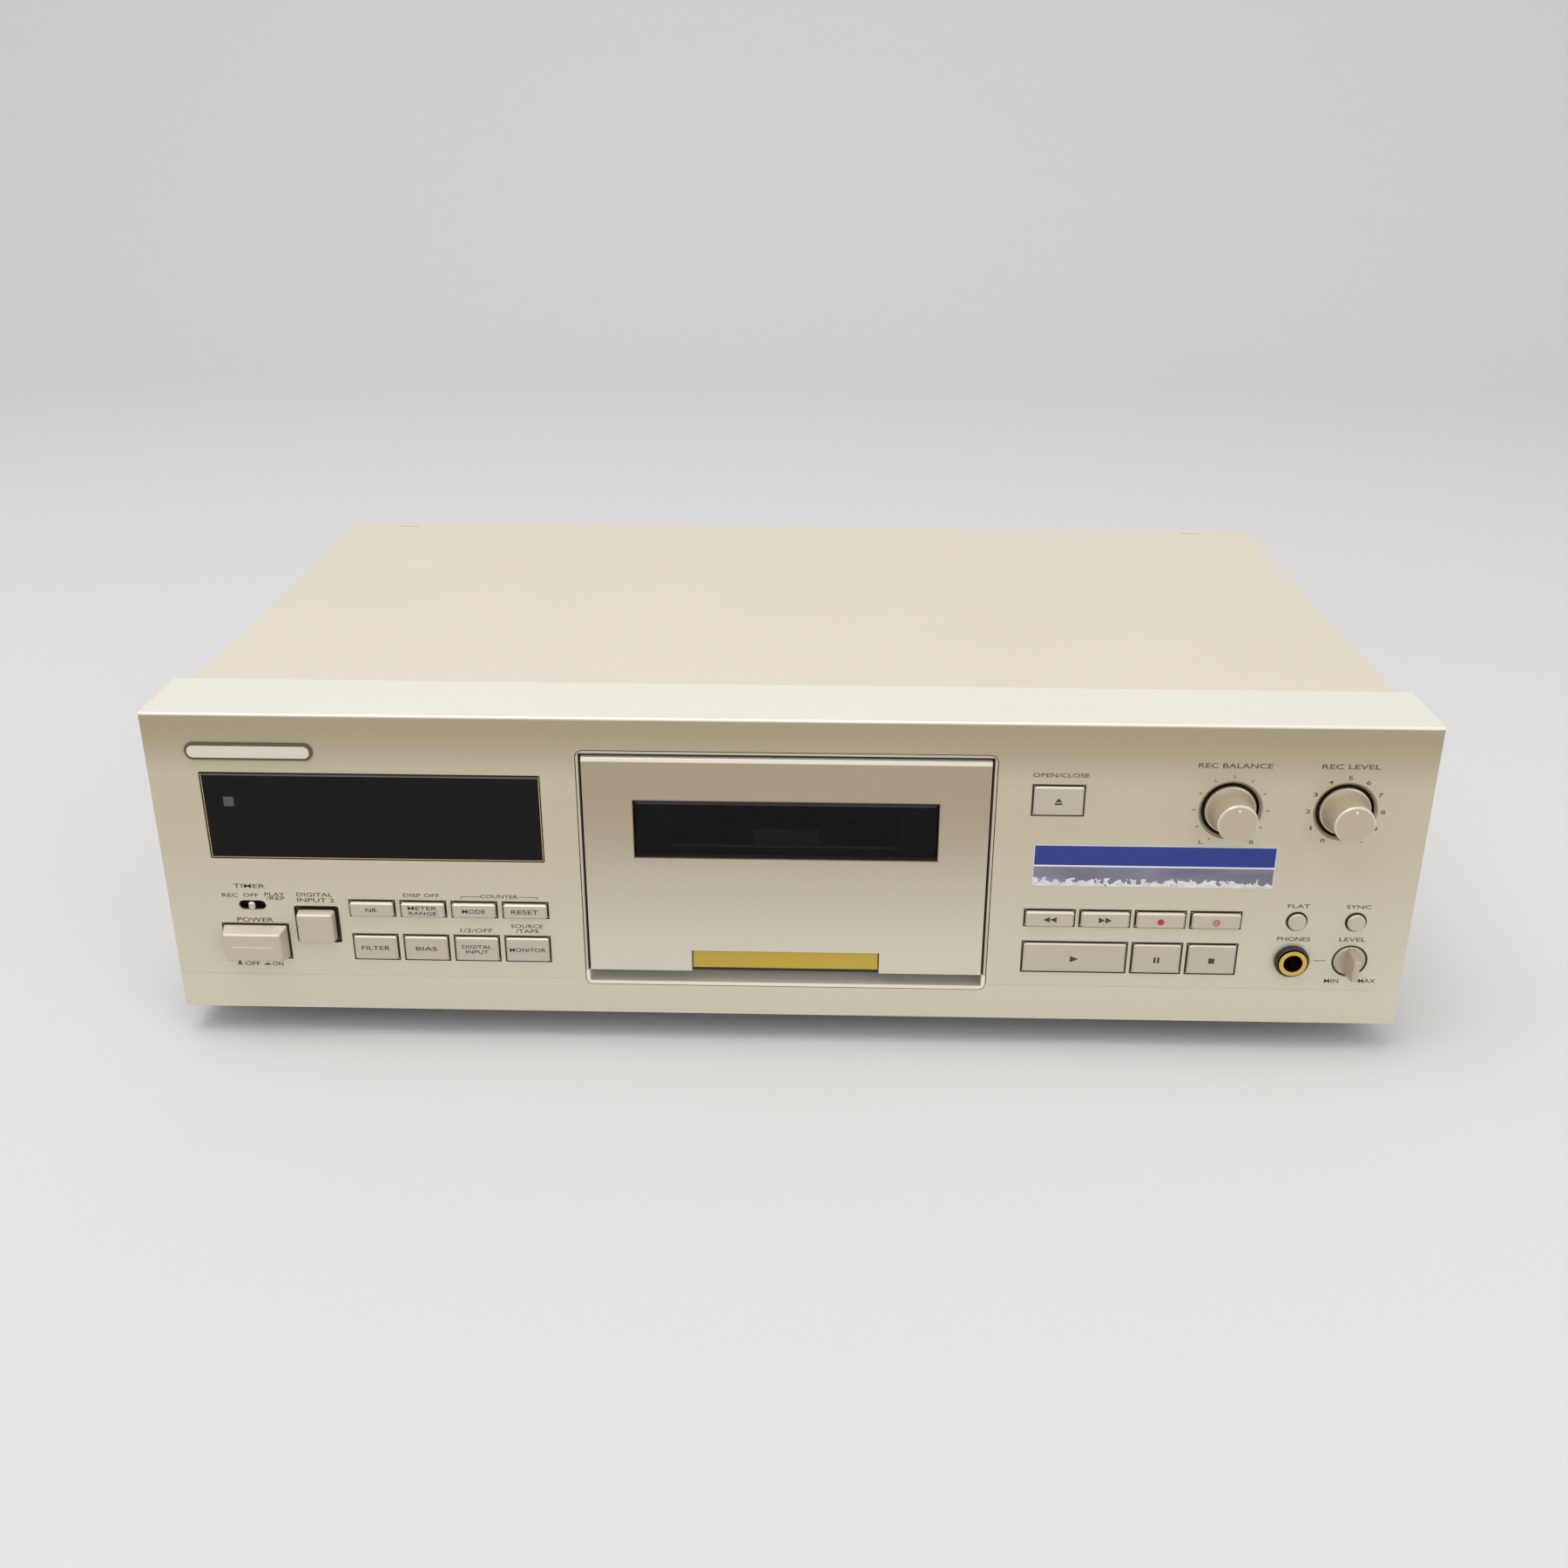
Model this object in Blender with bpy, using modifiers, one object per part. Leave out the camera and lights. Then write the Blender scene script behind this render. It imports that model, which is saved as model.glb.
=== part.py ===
"""Front-loading cassette deck, modelled as the separate pieces it comes apart into.

Metres, +Z up, X to the right and +Y to the back. The origin is under the middle of
the whole deck, on the surface that its feet stand on.
"""
import math

import bmesh
import bpy
from mathutils import Matrix, Vector

# Overall sizes of the front panel and the case
FACE_WIDTH = 0.420
FACE_HEIGHT = 0.1096
BODY_DEPTH = 0.245
FACE_LIFT = 0.011
FASCIA_DEPTH = 0.0331
FASCIA_WALL = 0.003
FASCIA_EDGE = 0.0008
TRIM_HEIGHT = 0.0132
COVER_INSET = 0.0045
COVER_DROP = 0.0003
COVER_SHEET = 0.001
COVER_BEND = 0.002
COVER_SKIRT_GAP = 0.0025
COVER_REAR_FLANGE = 0.010
REAR_TOP_GAP = 0.0009
SLOT_LENGTH = 0.0087
SLOT_WIDTH = 0.0007
SLOT_OUT = 0.0268
SLOT_FROM_REAR = 0.0052
PAN_SHEET = 0.0012
PAN_LIFT = 0.001
PAN_FLANGE = 0.008
REAR_SHEET = 0.001
FOOT_RADIUS = 0.020
FOOT_WAIST = 0.0175
FOOT_FLOOR_RADIUS = 0.0155
FOOT_LIP = 0.0028
FOOT_INSET_X = 0.045
FOOT_INSET_FRONT = 0.042
FOOT_INSET_REAR = 0.030

# Running and fitting gaps
FIT_GAP = 0.0003
KEY_GAP = 0.00025
CUT_OVERRUN = 0.002
CORNER_SEGMENTS = 2
TURN_STEPS = 20
FINE_TURN_STEPS = 28
BORE_STEPS = 12
ROUND_SEGMENTS = 3
MERGE_DISTANCE = 0.00001
SHARP_DEGREES = 35.0
FACING_COSINE = 0.9

# Panel layout: margins from the edges, and heights above the face's lower edge
PANEL_MARGIN = 0.017
BAY_GAP = 0.012
LOWER_ROW_Z = 0.02455
UPPER_ROW_Z = 0.0395
KEY_CORNER = 0.0008
KEY_EDGE = 0.0005
KEY_TRAVEL = 0.0009
KEY_FLANGE = 0.0006
KEY_FLANGE_SHEET = 0.0012
KEY_STEM = 0.003

FUNCTION_RIB = 0.0022
FUNCTION_START_SHARE = 0.401
FUNCTION_UPPER_HEIGHT = 0.0058
FUNCTION_LOWER_HEIGHT = 0.0095
FUNCTION_UPPER_PROUD = 0.0016
FUNCTION_LOWER_PROUD = 0.0010

TRANSPORT_RIB = 0.0019
TRANSPORT_END_SHARE = 0.643
TRANSPORT_UPPER_HEIGHT = 0.0061
TRANSPORT_LOWER_HEIGHT = 0.0115
TRANSPORT_UPPER_PROUD = 0.0015
TRANSPORT_LOWER_PROUD = 0.0008
OPEN_KEY_DROP = 0.0268
OPEN_KEY_HEIGHT = 0.0106
OPEN_KEY_PROUD = 0.0009

POWER_SHARES = (0.005, 0.204)
POWER_Z = 0.0262
POWER_HEIGHT = 0.0131
POWER_PROUD = 0.0054
POWER_TAPER = 0.0011
POWER_TRAVEL = 0.003
TIMER_Z = 0.04005
TIMER_SLOT_LENGTH = 0.0093
TIMER_SLOT_HEIGHT = 0.0035
TIMER_KNOB_LENGTH = 0.0022
TIMER_KNOB_PROUD = 0.0012
CAP_SHARES = (0.229, 0.365)
CAP_Z = 0.03295
CAP_FRAME_HEIGHT = 0.0141
CAP_RIM = 0.0009
CAP_PROUD = 0.0037
CAP_TAPER = 0.0004
CAP_WALL = 0.0011

ROUND_KEY_RADIUS = 0.0030
ROUND_KEY_PROUD = 0.0012
ROUND_LEFT_SHARE = 0.809
ROUND_RIGHT_SHARE = 0.984

KNOB_DROP = 0.0296
BALANCE_SHARE = 0.5726
RECORD_LEVEL_SHARE = 0.903
KNOB_HOLE_RADIUS = 0.0094
KNOB_BASE_RADIUS = 0.0083
KNOB_NECK_RADIUS = 0.0067
KNOB_FRONT_RADIUS = 0.0065
KNOB_PROUD = 0.0108
KNOB_EDGE = 0.0005
KNOB_SUNK = 0.0016
KNOB_STEM_RADIUS = 0.003
KNOB_STRAIGHT_SHARE = 0.42
KNOB_FLARE_STEPS = 5
KNOB_RING_WIDTH = 0.0008

PHONES_KNOB_HOLE = 0.0060
PHONES_KNOB_RADIUS = 0.0054
PHONES_BAR_WIDTH = 0.0026
PHONES_BAR_PROUD = 0.0080
JACK_NUT_RADIUS = 0.0058
JACK_NUT_PROUD = 0.0020
JACK_RING_RADIUS = 0.0047
JACK_RING_PROUD = 0.0026
JACK_BORE = 0.00325
JACK_DEPTH = 0.030
JACK_BODY_HEIGHT = 0.0110

DISPLAY_DROP = 0.0204
DISPLAY_HEIGHT = 0.0317
DISPLAY_GAP = 0.0007
DISPLAY_GLASS = 0.0028
DISPLAY_CORNER = 0.0005
TUBE_MARGIN = 0.004

# Well, door and cassette holder
WELL_WIDTH = 0.137
WELL_DROP = 0.0114
WELL_BASE = 0.0113
WELL_WALL = 0.0013
WELL_CORNER = 0.002
WELL_INNER_CORNER = 0.0005
WELL_DEPTH = 0.020
COVE_RADIUS = 0.0070
COVE_LIP = 0.0016
COVE_STEPS = 6
DOOR_GAP = 0.00035
DOOR_BASE = 0.0169
DOOR_SHEET = 0.003
DOOR_TOP_BEVEL = 0.0019
WINDOW_WIDTH = 0.1006
WINDOW_HEIGHT = 0.0207
WINDOW_DROP = 0.0158
WINDOW_EDGE = 0.0012
WINDOW_CORNER = 0.0005
NOTCH_WIDTH = 0.0640
NOTCH_TOP = 0.0248
STRIP_RECESS = 0.0008
STRIP_GAP = 0.0004
STRIP_HEIGHT = 0.0064
DOOR_OPEN_DEGREES = 28.0
HINGE_RISE = 0.0077
HINGE_DEPTH = 0.0060
HINGE_PIN_RADIUS = 0.0015
CASSETTE_WIDTH = 0.1004
CASSETTE_HEIGHT = 0.0638
CASSETTE_DEPTH = 0.0120
HUB_SPACING = 0.0425
HUB_ABOVE_TAPE_EDGE = 0.0345
HUB_DROP = 0.0312
POCKET_GAP = 0.0006
HOLDER_WALL = 0.0012
HOLDER_HOOK = 0.0055
HOLDER_LEDGE = 0.010
HOLDER_TOP_DROP = 0.0020
SIGHT_WIDTH = 0.075
SIGHT_HEIGHT = 0.0199
SIGHT_BELOW_HUBS = 0.0039
SIGHT_TAB_WIDTH = 0.022
SIGHT_TAB_HEIGHT = 0.0064
HOLDER_ARM_HEIGHT = 0.007

# Tape mechanism behind the well
PLATE_SHEET = 0.0016
PLATE_SIDE = 0.0025
PLATE_FOOT_WIDTH = 0.018
SPINDLE_RADIUS = 0.0028
SPINDLE_FIN = 0.0012
SPINDLE_FINS = 3
SPINDLE_REACH = 0.0085
SPINDLE_TIP = 0.0025
SPINDLE_TIP_RADIUS = 0.0012
REEL_DISC_RADIUS = 0.0105
REEL_DISC_SHEET = 0.0012
REEL_GEAR_RADIUS = 0.0130
REEL_GEAR_TOOTH = 0.0013
REEL_GEAR_TEETH = 18
REEL_GEAR_SHEET = 0.0022
CAPSTAN_X = 0.024
CAPSTAN_ABOVE_TAPE_EDGE = 0.006
CAPSTAN_RADIUS = 0.00125
CAPSTAN_REACH = 0.0130
CAPSTAN_BUSH_RADIUS = 0.0032
FLYWHEEL_RADIUS = 0.0270
FLYWHEEL_SHEET = 0.0070
FLYWHEEL_BACK = 0.0085
BELT_GROOVE = 0.0012
BELT_WIDTH = 0.0030
BELT_SHEET = 0.0008
MOTOR_X = -0.030
MOTOR_Z = 0.036
MOTOR_RADIUS = 0.0165
MOTOR_LENGTH = 0.026
MOTOR_PULLEY_RADIUS = 0.0055
MOTOR_SHAFT_RADIUS = 0.001
BRACKET_SHEET = 0.0016
BRACKET_BACK = 0.0175
BRACKET_POST_RADIUS = 0.0028
BRACKET_MARGIN = 0.006
BRACKET_POST_INSET = 0.004
CARRIAGE_WIDTH = 0.064
CARRIAGE_HEIGHT = 0.0085
CARRIAGE_SHEET = 0.0012
CARRIAGE_DROP = 0.0015
CARRIAGE_TRAVEL = 0.006
HEAD_WIDTH = 0.0150
HEAD_HEIGHT = 0.0075
HEAD_DEPTH = 0.0105
HEAD_CROWN = 0.0028
ERASE_HEAD_WIDTH = 0.0070
ERASE_HEAD_X = -0.0205
HEAD_BELOW_TAPE_EDGE = 0.0010
PINCH_RADIUS = 0.0055
PINCH_LENGTH = 0.0075
PINCH_BORE = 0.0012
PINCH_ARM_LENGTH = 0.0183
PINCH_ARM_WIDTH = 0.005
PINCH_ARM_SHEET = 0.0015
PINCH_SWING_DEGREES = 16.0
PINCH_ENGAGED_DEGREES = 10.9
PINCH_PIVOT_RADIUS = 0.0014

# Boards, supply and the sockets of the rear panel
FRONT_BOARD_DEPTH = 0.0100
BOARD_SHEET = 0.0016
FRONT_BOARD_MARGIN = 0.009
FRONT_BOARD_BRIDGE = 0.005
MAIN_BOARD_LENGTH = 0.270
MAIN_BOARD_DEPTH = 0.120
MAIN_BOARD_LIFT = 0.0065
MAIN_BOARD_FRONT = 0.078
MAIN_BOARD_X = 0.045
STANDOFF_RADIUS = 0.003
TRANSFORMER_WIDTH = 0.060
TRANSFORMER_DEPTH = 0.050
TRANSFORMER_HEIGHT = 0.052
TRANSFORMER_COIL = 0.008
TRANSFORMER_FROM_SIDE = 0.055
JACK_BLOCK_WIDTH = 0.034
JACK_BLOCK_HEIGHT = 0.030
JACK_BLOCK_DEPTH = 0.016
JACK_BLOCK_X = 0.120
JACK_BLOCK_Z = 0.062
LINE_JACK_PITCH = 0.014
LINE_JACK_RADIUS = 0.0042
LINE_JACK_BORE = 0.0016
LINE_JACK_PROUD = 0.009
INLET_WIDTH = 0.020
INLET_HEIGHT = 0.0120
INLET_DEPTH = 0.018
INLET_FROM_SIDE = 0.045
INLET_Z = 0.030
INLET_FLANGE = 0.002
INLET_FLANGE_PROUD = 0.0015
INLET_CAVITY_WIDTH = 0.0165
INLET_CAVITY_HEIGHT = 0.0085
INLET_CAVITY_DEPTH = 0.012
INLET_CAVITY_CORNER = 0.0028
INLET_PIN_SPACING = 0.0086
INLET_PIN_RADIUS = 0.0012
SOCKET_OPENING_WIDTH = 0.0076
SOCKET_OPENING_HEIGHT = 0.0068
SOCKET_OPENING_DEPTH = 0.0070
SOCKET_WALL = 0.0008

# Places that follow from the sizes above
FRONT_REACH = KNOB_PROUD
REAR_REACH = LINE_JACK_PROUD
FACE_Y = FRONT_REACH - (BODY_DEPTH + FRONT_REACH + REAR_REACH) / 2
LEFT_BAY_START = -FACE_WIDTH / 2 + PANEL_MARGIN
LEFT_BAY_END = -WELL_WIDTH / 2 - BAY_GAP
BAY_WIDTH = LEFT_BAY_END - LEFT_BAY_START
RIGHT_BAY_START = -LEFT_BAY_END
TRANSFORMER_X = TRANSFORMER_FROM_SIDE - FACE_WIDTH / 2
INLET_X = INLET_FROM_SIDE - FACE_WIDTH / 2
FACE_TOP = FACE_LIFT + FACE_HEIGHT
WELL_TOP = FACE_TOP - WELL_DROP
WELL_BOTTOM = FACE_LIFT + WELL_BASE
HUB_Z = WELL_TOP - HUB_DROP
TAPE_EDGE_Z = HUB_Z - HUB_ABOVE_TAPE_EDGE
HINGE_Z = WELL_BOTTOM + HINGE_RISE
POCKET_FRONT = DOOR_SHEET + FIT_GAP + HOLDER_WALL
POCKET_BACK = POCKET_FRONT + CASSETTE_DEPTH + POCKET_GAP
PLATE_FRONT = WELL_DEPTH + FIT_GAP
PLATE_BACK = PLATE_FRONT + PLATE_SHEET
BRACKET_FRONT = PLATE_BACK + BRACKET_BACK
REAR_Y = FACE_Y + BODY_DEPTH


def face_y(depth):
    """World Y of a point this far behind the front of the fascia."""
    return FACE_Y + depth


def left_bay(share):
    """World X at a share of the panel's left bay."""
    return LEFT_BAY_START + share * BAY_WIDTH


def right_bay(share):
    """World X at a share of the panel's right bay."""
    return RIGHT_BAY_START + share * BAY_WIDTH


# Scene, collections and materials
for old in list(bpy.data.objects):
    bpy.data.objects.remove(old, do_unlink=True)


def make_collection(name):
    found = bpy.data.collections.get(name)
    if found is None:
        found = bpy.data.collections.new(name)
        bpy.context.scene.collection.children.link(found)
    return found


PARTS = make_collection("cassette_deck")
CUTTERS = make_collection("cutters")


def make_material(name, colour, roughness, metallic=0.0):
    finish = bpy.data.materials.new(name)
    finish.use_nodes = True
    finish.diffuse_color = (*colour, 1.0)
    shader = finish.node_tree.nodes["Principled BSDF"]
    shader.inputs["Base Color"].default_value = (*colour, 1.0)
    shader.inputs["Roughness"].default_value = roughness
    shader.inputs["Metallic"].default_value = metallic
    return finish


FINISH = {
    "fascia": make_material("fascia", (0.56, 0.49, 0.36), 0.42, 0.6),
    "trim": make_material("trim", (0.58, 0.53, 0.40), 0.42, 0.6),
    "cover": make_material("cover", (0.77, 0.70, 0.54), 0.50, 0.1),
    "key": make_material("key", (0.52, 0.46, 0.40), 0.38, 0.5),
    "bezel": make_material("bezel", (0.40, 0.34, 0.26), 0.35, 0.5),
    "black": make_material("black", (0.02, 0.02, 0.022), 0.35),
    "smoked": make_material("smoked", (0.01, 0.01, 0.012), 0.08),
    "gold": make_material("gold", (0.60, 0.42, 0.08), 0.35, 0.8),
    "steel": make_material("steel", (0.60, 0.60, 0.58), 0.35, 1.0),
    "brass": make_material("brass", (0.62, 0.46, 0.20), 0.30, 1.0),
    "rubber": make_material("rubber", (0.03, 0.03, 0.03), 0.80),
    "board": make_material("board", (0.35, 0.28, 0.12), 0.60),
    "iron": make_material("iron", (0.12, 0.12, 0.12), 0.55, 0.5),
}


def finish_object(name, bm, finish, axis_point=(0, 0, 0), cutter=False):
    """Turn a bmesh into a named object whose origin is at axis_point."""
    bm.normal_update()
    mesh = bpy.data.meshes.new(name)
    bmesh.ops.translate(bm, verts=bm.verts, vec=-Vector(axis_point))
    bm.to_mesh(mesh)
    bm.free()
    mesh.shade_smooth()
    mesh.set_sharp_from_angle(angle=math.radians(SHARP_DEGREES))
    made = bpy.data.objects.new(name, mesh)
    made.location = axis_point
    if cutter:
        made.hide_render = True
        made.display_type = "WIRE"
        CUTTERS.objects.link(made)
    else:
        mesh.materials.append(FINISH[finish])
        PARTS.objects.link(made)
    return made


def boolean(target, tool, operation="DIFFERENCE"):
    step = target.modifiers.new(operation.lower(), "BOOLEAN")
    step.operation = operation
    step.solver = "EXACT"
    step.object = tool
    return step


# Shapes that several pieces share
def add_block(bm, low, high, corner=0.0, axis="y", segments=CORNER_SEGMENTS):
    """Box between two corners; corner rounds the four edges that run along axis."""
    size = [b - a for a, b in zip(low, high)]
    centre = [(a + b) / 2 for a, b in zip(low, high)]
    place = Matrix.Translation(centre) @ Matrix.Diagonal((*size, 1.0))
    verts = bmesh.ops.create_cube(bm, size=1.0, matrix=place)["verts"]
    if corner > 0:
        along = "xyz".index(axis)
        edges = {edge for vert in verts for edge in vert.link_edges}
        half = size[along] / 2
        long_edges = [e for e in edges if abs(e.verts[0].co[along] - e.verts[1].co[along]) > half]
        bmesh.ops.bevel(
            bm, geom=long_edges, offset=corner, segments=segments, profile=0.5, affect="EDGES")


def add_rod(bm, x, z, radius, y_front, y_back, steps=TURN_STEPS, far_radius=None):
    """Cylinder along Y, or a cone where far_radius gives its radius at the back."""
    back_radius = radius if far_radius is None else far_radius
    place = Matrix.Translation((x, (y_front + y_back) / 2, z)) @ Matrix.Rotation(-math.pi / 2, 4, "X")
    bmesh.ops.create_cone(
        bm, cap_ends=True, segments=steps, radius1=radius, radius2=back_radius,
        depth=y_back - y_front, matrix=place)


def add_post(bm, x, y, radius, z_low, z_high, steps=TURN_STEPS):
    """Upright cylinder."""
    place = Matrix.Translation((x, y, (z_low + z_high) / 2))
    bmesh.ops.create_cone(
        bm, cap_ends=True, segments=steps, radius1=radius, radius2=radius,
        depth=z_high - z_low, matrix=place)


def face_towards(bm, direction):
    """The largest face of a body that looks along direction."""
    aim = Vector(direction)
    bm.normal_update()
    return max(bm.faces, key=lambda face: (round(face.normal.dot(aim), 2), face.calc_area()))


def step_back(bm, face, grow_x, grow_z, travel):
    """Extrude an end face along Y, after widening its outline by grow on every side."""
    centre = face.calc_center_bounds()
    made = bmesh.ops.extrude_face_region(bm, geom=[face])["geom"]
    bmesh.ops.delete(bm, geom=[face], context="FACES")
    verts = [item for item in made if isinstance(item, bmesh.types.BMVert)]
    for vert in verts:
        vert.co.x += grow_x * math.copysign(1, vert.co.x - centre.x)
        vert.co.z += grow_z * math.copysign(1, vert.co.z - centre.z)
        vert.co.y += travel
    return next(item for item in made if isinstance(item, bmesh.types.BMFace))


def turned(name, profile, x, z, finish, steps=TURN_STEPS, cutter=False):
    """Turn (radius, depth) points, front to back, about an axis along Y."""
    mesh = bpy.data.meshes.new(name)
    points = [(radius, 0, -depth) for radius, depth in profile]
    links = [(index, index + 1) for index in range(len(points) - 1)]
    if profile[0][0] > 0:
        links.append((len(points) - 1, 0))
    mesh.from_pydata(points, links, [])
    made = bpy.data.objects.new(name, mesh)
    made.location = (x, FACE_Y, z)
    made.rotation_euler = (math.pi / 2, 0, 0)
    screw = made.modifiers.new("turn", "SCREW")
    screw.axis = "Z"
    screw.steps = steps
    screw.render_steps = steps
    screw.use_merge_vertices = True
    screw.merge_threshold = MERGE_DISTANCE
    screw.use_smooth_shade = True
    if cutter:
        made.hide_render = True
        made.display_type = "WIRE"
        CUTTERS.objects.link(made)
    else:
        mesh.materials.append(FINISH[finish])
        PARTS.objects.link(made)
    return made


# The key holes of the panel: centre x, centre z, width and height of each
def column(start, end, rib, count, first, span=1):
    """Centre and width of a key that covers span columns of a row."""
    pitch = (end - start + rib) / count
    width = pitch * span - rib
    return start + pitch * first + width / 2, width


def key_holes():
    """Every push key: its hole's centre and size, and how far it stands proud."""
    holes = {}
    function_start = left_bay(FUNCTION_START_SHARE)
    upper_z = FACE_LIFT + UPPER_ROW_Z
    lower_z = FACE_LIFT + LOWER_ROW_Z
    upper_names = ("noise_reduction_key", "meter_range_key", "counter_mode_key", "counter_reset_key")
    lower_names = ("digital_filter_key", "bias_key", "digital_input_key", "monitor_key")
    for index, name in enumerate(upper_names):
        x, width = column(function_start, LEFT_BAY_END, FUNCTION_RIB, len(upper_names), index)
        holes[name] = (x, upper_z, width, FUNCTION_UPPER_HEIGHT, FUNCTION_UPPER_PROUD)
    for index, name in enumerate(lower_names):
        x, width = column(function_start, LEFT_BAY_END, FUNCTION_RIB, len(lower_names), index)
        holes[name] = (x, lower_z, width, FUNCTION_LOWER_HEIGHT, FUNCTION_LOWER_PROUD)
    transport_end = right_bay(TRANSPORT_END_SHARE)
    transport = ("rewind_key", "fast_forward_key", "record_key", "record_mute_key")
    for index, name in enumerate(transport):
        x, width = column(RIGHT_BAY_START, transport_end, TRANSPORT_RIB, len(transport), index)
        holes[name] = (x, upper_z, width, TRANSPORT_UPPER_HEIGHT, TRANSPORT_UPPER_PROUD)
    large = (("play_key", 0, 2), ("pause_key", 2, 1), ("stop_key", 3, 1))
    for name, first, span in large:
        x, width = column(RIGHT_BAY_START, transport_end, TRANSPORT_RIB, len(transport), first, span)
        holes[name] = (x, lower_z, width, TRANSPORT_LOWER_HEIGHT, TRANSPORT_LOWER_PROUD)
    x, width = column(RIGHT_BAY_START, transport_end, TRANSPORT_RIB, len(transport), 0)
    holes["open_close_key"] = (x, FACE_TOP - OPEN_KEY_DROP, width, OPEN_KEY_HEIGHT, OPEN_KEY_PROUD)
    return holes


def span_of(shares):
    """Centre and width of a stretch of the left bay."""
    start, end = (left_bay(share) for share in shares)
    return (start + end) / 2, end - start


POWER_X, POWER_WIDTH = span_of(POWER_SHARES)
CAP_X, CAP_FRAME_WIDTH = span_of(CAP_SHARES)
DISPLAY_X = (LEFT_BAY_START + LEFT_BAY_END) / 2
DISPLAY_Z = FACE_TOP - DISPLAY_DROP - DISPLAY_HEIGHT / 2
ROUND_KEYS = {"flat_key": right_bay(ROUND_LEFT_SHARE), "synchro_key": right_bay(ROUND_RIGHT_SHARE)}
KNOB_Z = FACE_TOP - KNOB_DROP
PHONES_Z = FACE_LIFT + LOWER_ROW_Z
JACK_X = ROUND_KEYS["flat_key"]
PHONES_LEVEL_X = ROUND_KEYS["synchro_key"]
FRONT_CUT = face_y(-CUT_OVERRUN)
BACK_CUT = face_y(FASCIA_WALL + CUT_OVERRUN)


def cut_slab(bm, x, z, width, height, corner, segments=CORNER_SEGMENTS):
    """One rounded opening right through the fascia."""
    low = (x - width / 2, FRONT_CUT, z - height / 2)
    high = (x + width / 2, BACK_CUT, z + height / 2)
    add_block(bm, low, high, corner, segments=segments)


# Casing
def fascia_openings():
    """Every hole of the front panel, as one set of separate cutting bodies."""
    bm = bmesh.new()
    for x, z, width, height, _ in key_holes().values():
        cut_slab(bm, x, z, width, height, KEY_CORNER, 1)
    cut_slab(bm, POWER_X, FACE_LIFT + POWER_Z, POWER_WIDTH, POWER_HEIGHT, KEY_CORNER)
    cut_slab(bm, CAP_X, FACE_LIFT + CAP_Z, CAP_FRAME_WIDTH, CAP_FRAME_HEIGHT, KEY_CORNER)
    slot_corner = TIMER_SLOT_HEIGHT / 2 - FIT_GAP / 2
    cut_slab(bm, POWER_X, FACE_LIFT + TIMER_Z, TIMER_SLOT_LENGTH, TIMER_SLOT_HEIGHT, slot_corner)
    cut_slab(bm, DISPLAY_X, DISPLAY_Z, BAY_WIDTH, DISPLAY_HEIGHT, DISPLAY_CORNER)
    for x in ROUND_KEYS.values():
        add_rod(bm, x, FACE_LIFT + UPPER_ROW_Z, ROUND_KEY_RADIUS + FIT_GAP, FRONT_CUT, BACK_CUT)
    for share in (BALANCE_SHARE, RECORD_LEVEL_SHARE):
        add_rod(bm, right_bay(share), KNOB_Z, KNOB_HOLE_RADIUS, FRONT_CUT, BACK_CUT)
    add_rod(bm, PHONES_LEVEL_X, PHONES_Z, PHONES_KNOB_HOLE, FRONT_CUT, BACK_CUT)
    add_rod(bm, JACK_X, PHONES_Z, JACK_RING_RADIUS + FIT_GAP, FRONT_CUT, BACK_CUT)
    return finish_object("fascia_openings", bm, None, cutter=True)


def well_opening():
    """The rounded hole in the fascia and its lower trim that the well fills."""
    bm = bmesh.new()
    side = WELL_WIDTH / 2 + FIT_GAP
    low = (-side, face_y(-CUT_OVERRUN), WELL_BOTTOM - FIT_GAP)
    high = (side, face_y(FASCIA_DEPTH), WELL_TOP + FIT_GAP)
    add_block(bm, low, high, WELL_CORNER + FIT_GAP)
    return finish_object("well_opening", bm, None, cutter=True)


def open_shell(name, low, high, open_sides, wall, finish, edge_width):
    """Thin-walled casing: a block with its front edges broken, hollowed out through its open sides."""
    bm = bmesh.new()
    add_block(bm, low, high)
    bm.normal_update()
    opened = {f for f in bm.faces if any(f.normal.dot(Vector(s)) > FACING_COSINE for s in open_sides)}
    front_edges = [
        e for e in bm.edges
        if not opened & set(e.link_faces) and all(v.co.y < low[1] + wall / 2 for v in e.verts)]
    bmesh.ops.bevel(
        bm, geom=front_edges, offset=edge_width, segments=CORNER_SEGMENTS, profile=0.5, affect="EDGES")
    made = finish_object(name, bm, finish)
    inner_low, inner_high = [c + wall for c in low], [c - wall for c in high]
    for side in open_sides:
        axis = max(range(3), key=lambda a: abs(side[a]))
        if side[axis] > 0:
            inner_high[axis] = high[axis] + CUT_OVERRUN
        else:
            inner_low[axis] = low[axis] - CUT_OVERRUN
    hollow = bmesh.new()
    add_block(hollow, inner_low, inner_high)
    boolean(made, finish_object(f"{name}_hollow", hollow, None, cutter=True))
    return made


def front_panel(openings, well_hole):
    low = (-FACE_WIDTH / 2, face_y(0), FACE_LIFT + TRIM_HEIGHT)
    high = (FACE_WIDTH / 2, face_y(FASCIA_DEPTH), FACE_TOP)
    sides = ((0, 1, 0), (0, 0, -1))
    panel = open_shell("front_panel", low, high, sides, FASCIA_WALL, "fascia", FASCIA_EDGE)
    boolean(panel, openings)
    boolean(panel, well_hole)
    return panel


def lower_trim(well_hole):
    low = (-FACE_WIDTH / 2, face_y(0), FACE_LIFT)
    high = (FACE_WIDTH / 2, face_y(FASCIA_DEPTH), FACE_LIFT + TRIM_HEIGHT - FIT_GAP)
    sides = ((0, 1, 0), (0, 0, 1), (0, 0, -1))
    trim = open_shell("lower_trim", low, high, sides, FASCIA_WALL, "trim", FASCIA_EDGE)
    boolean(trim, well_hole)
    return trim


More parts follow.
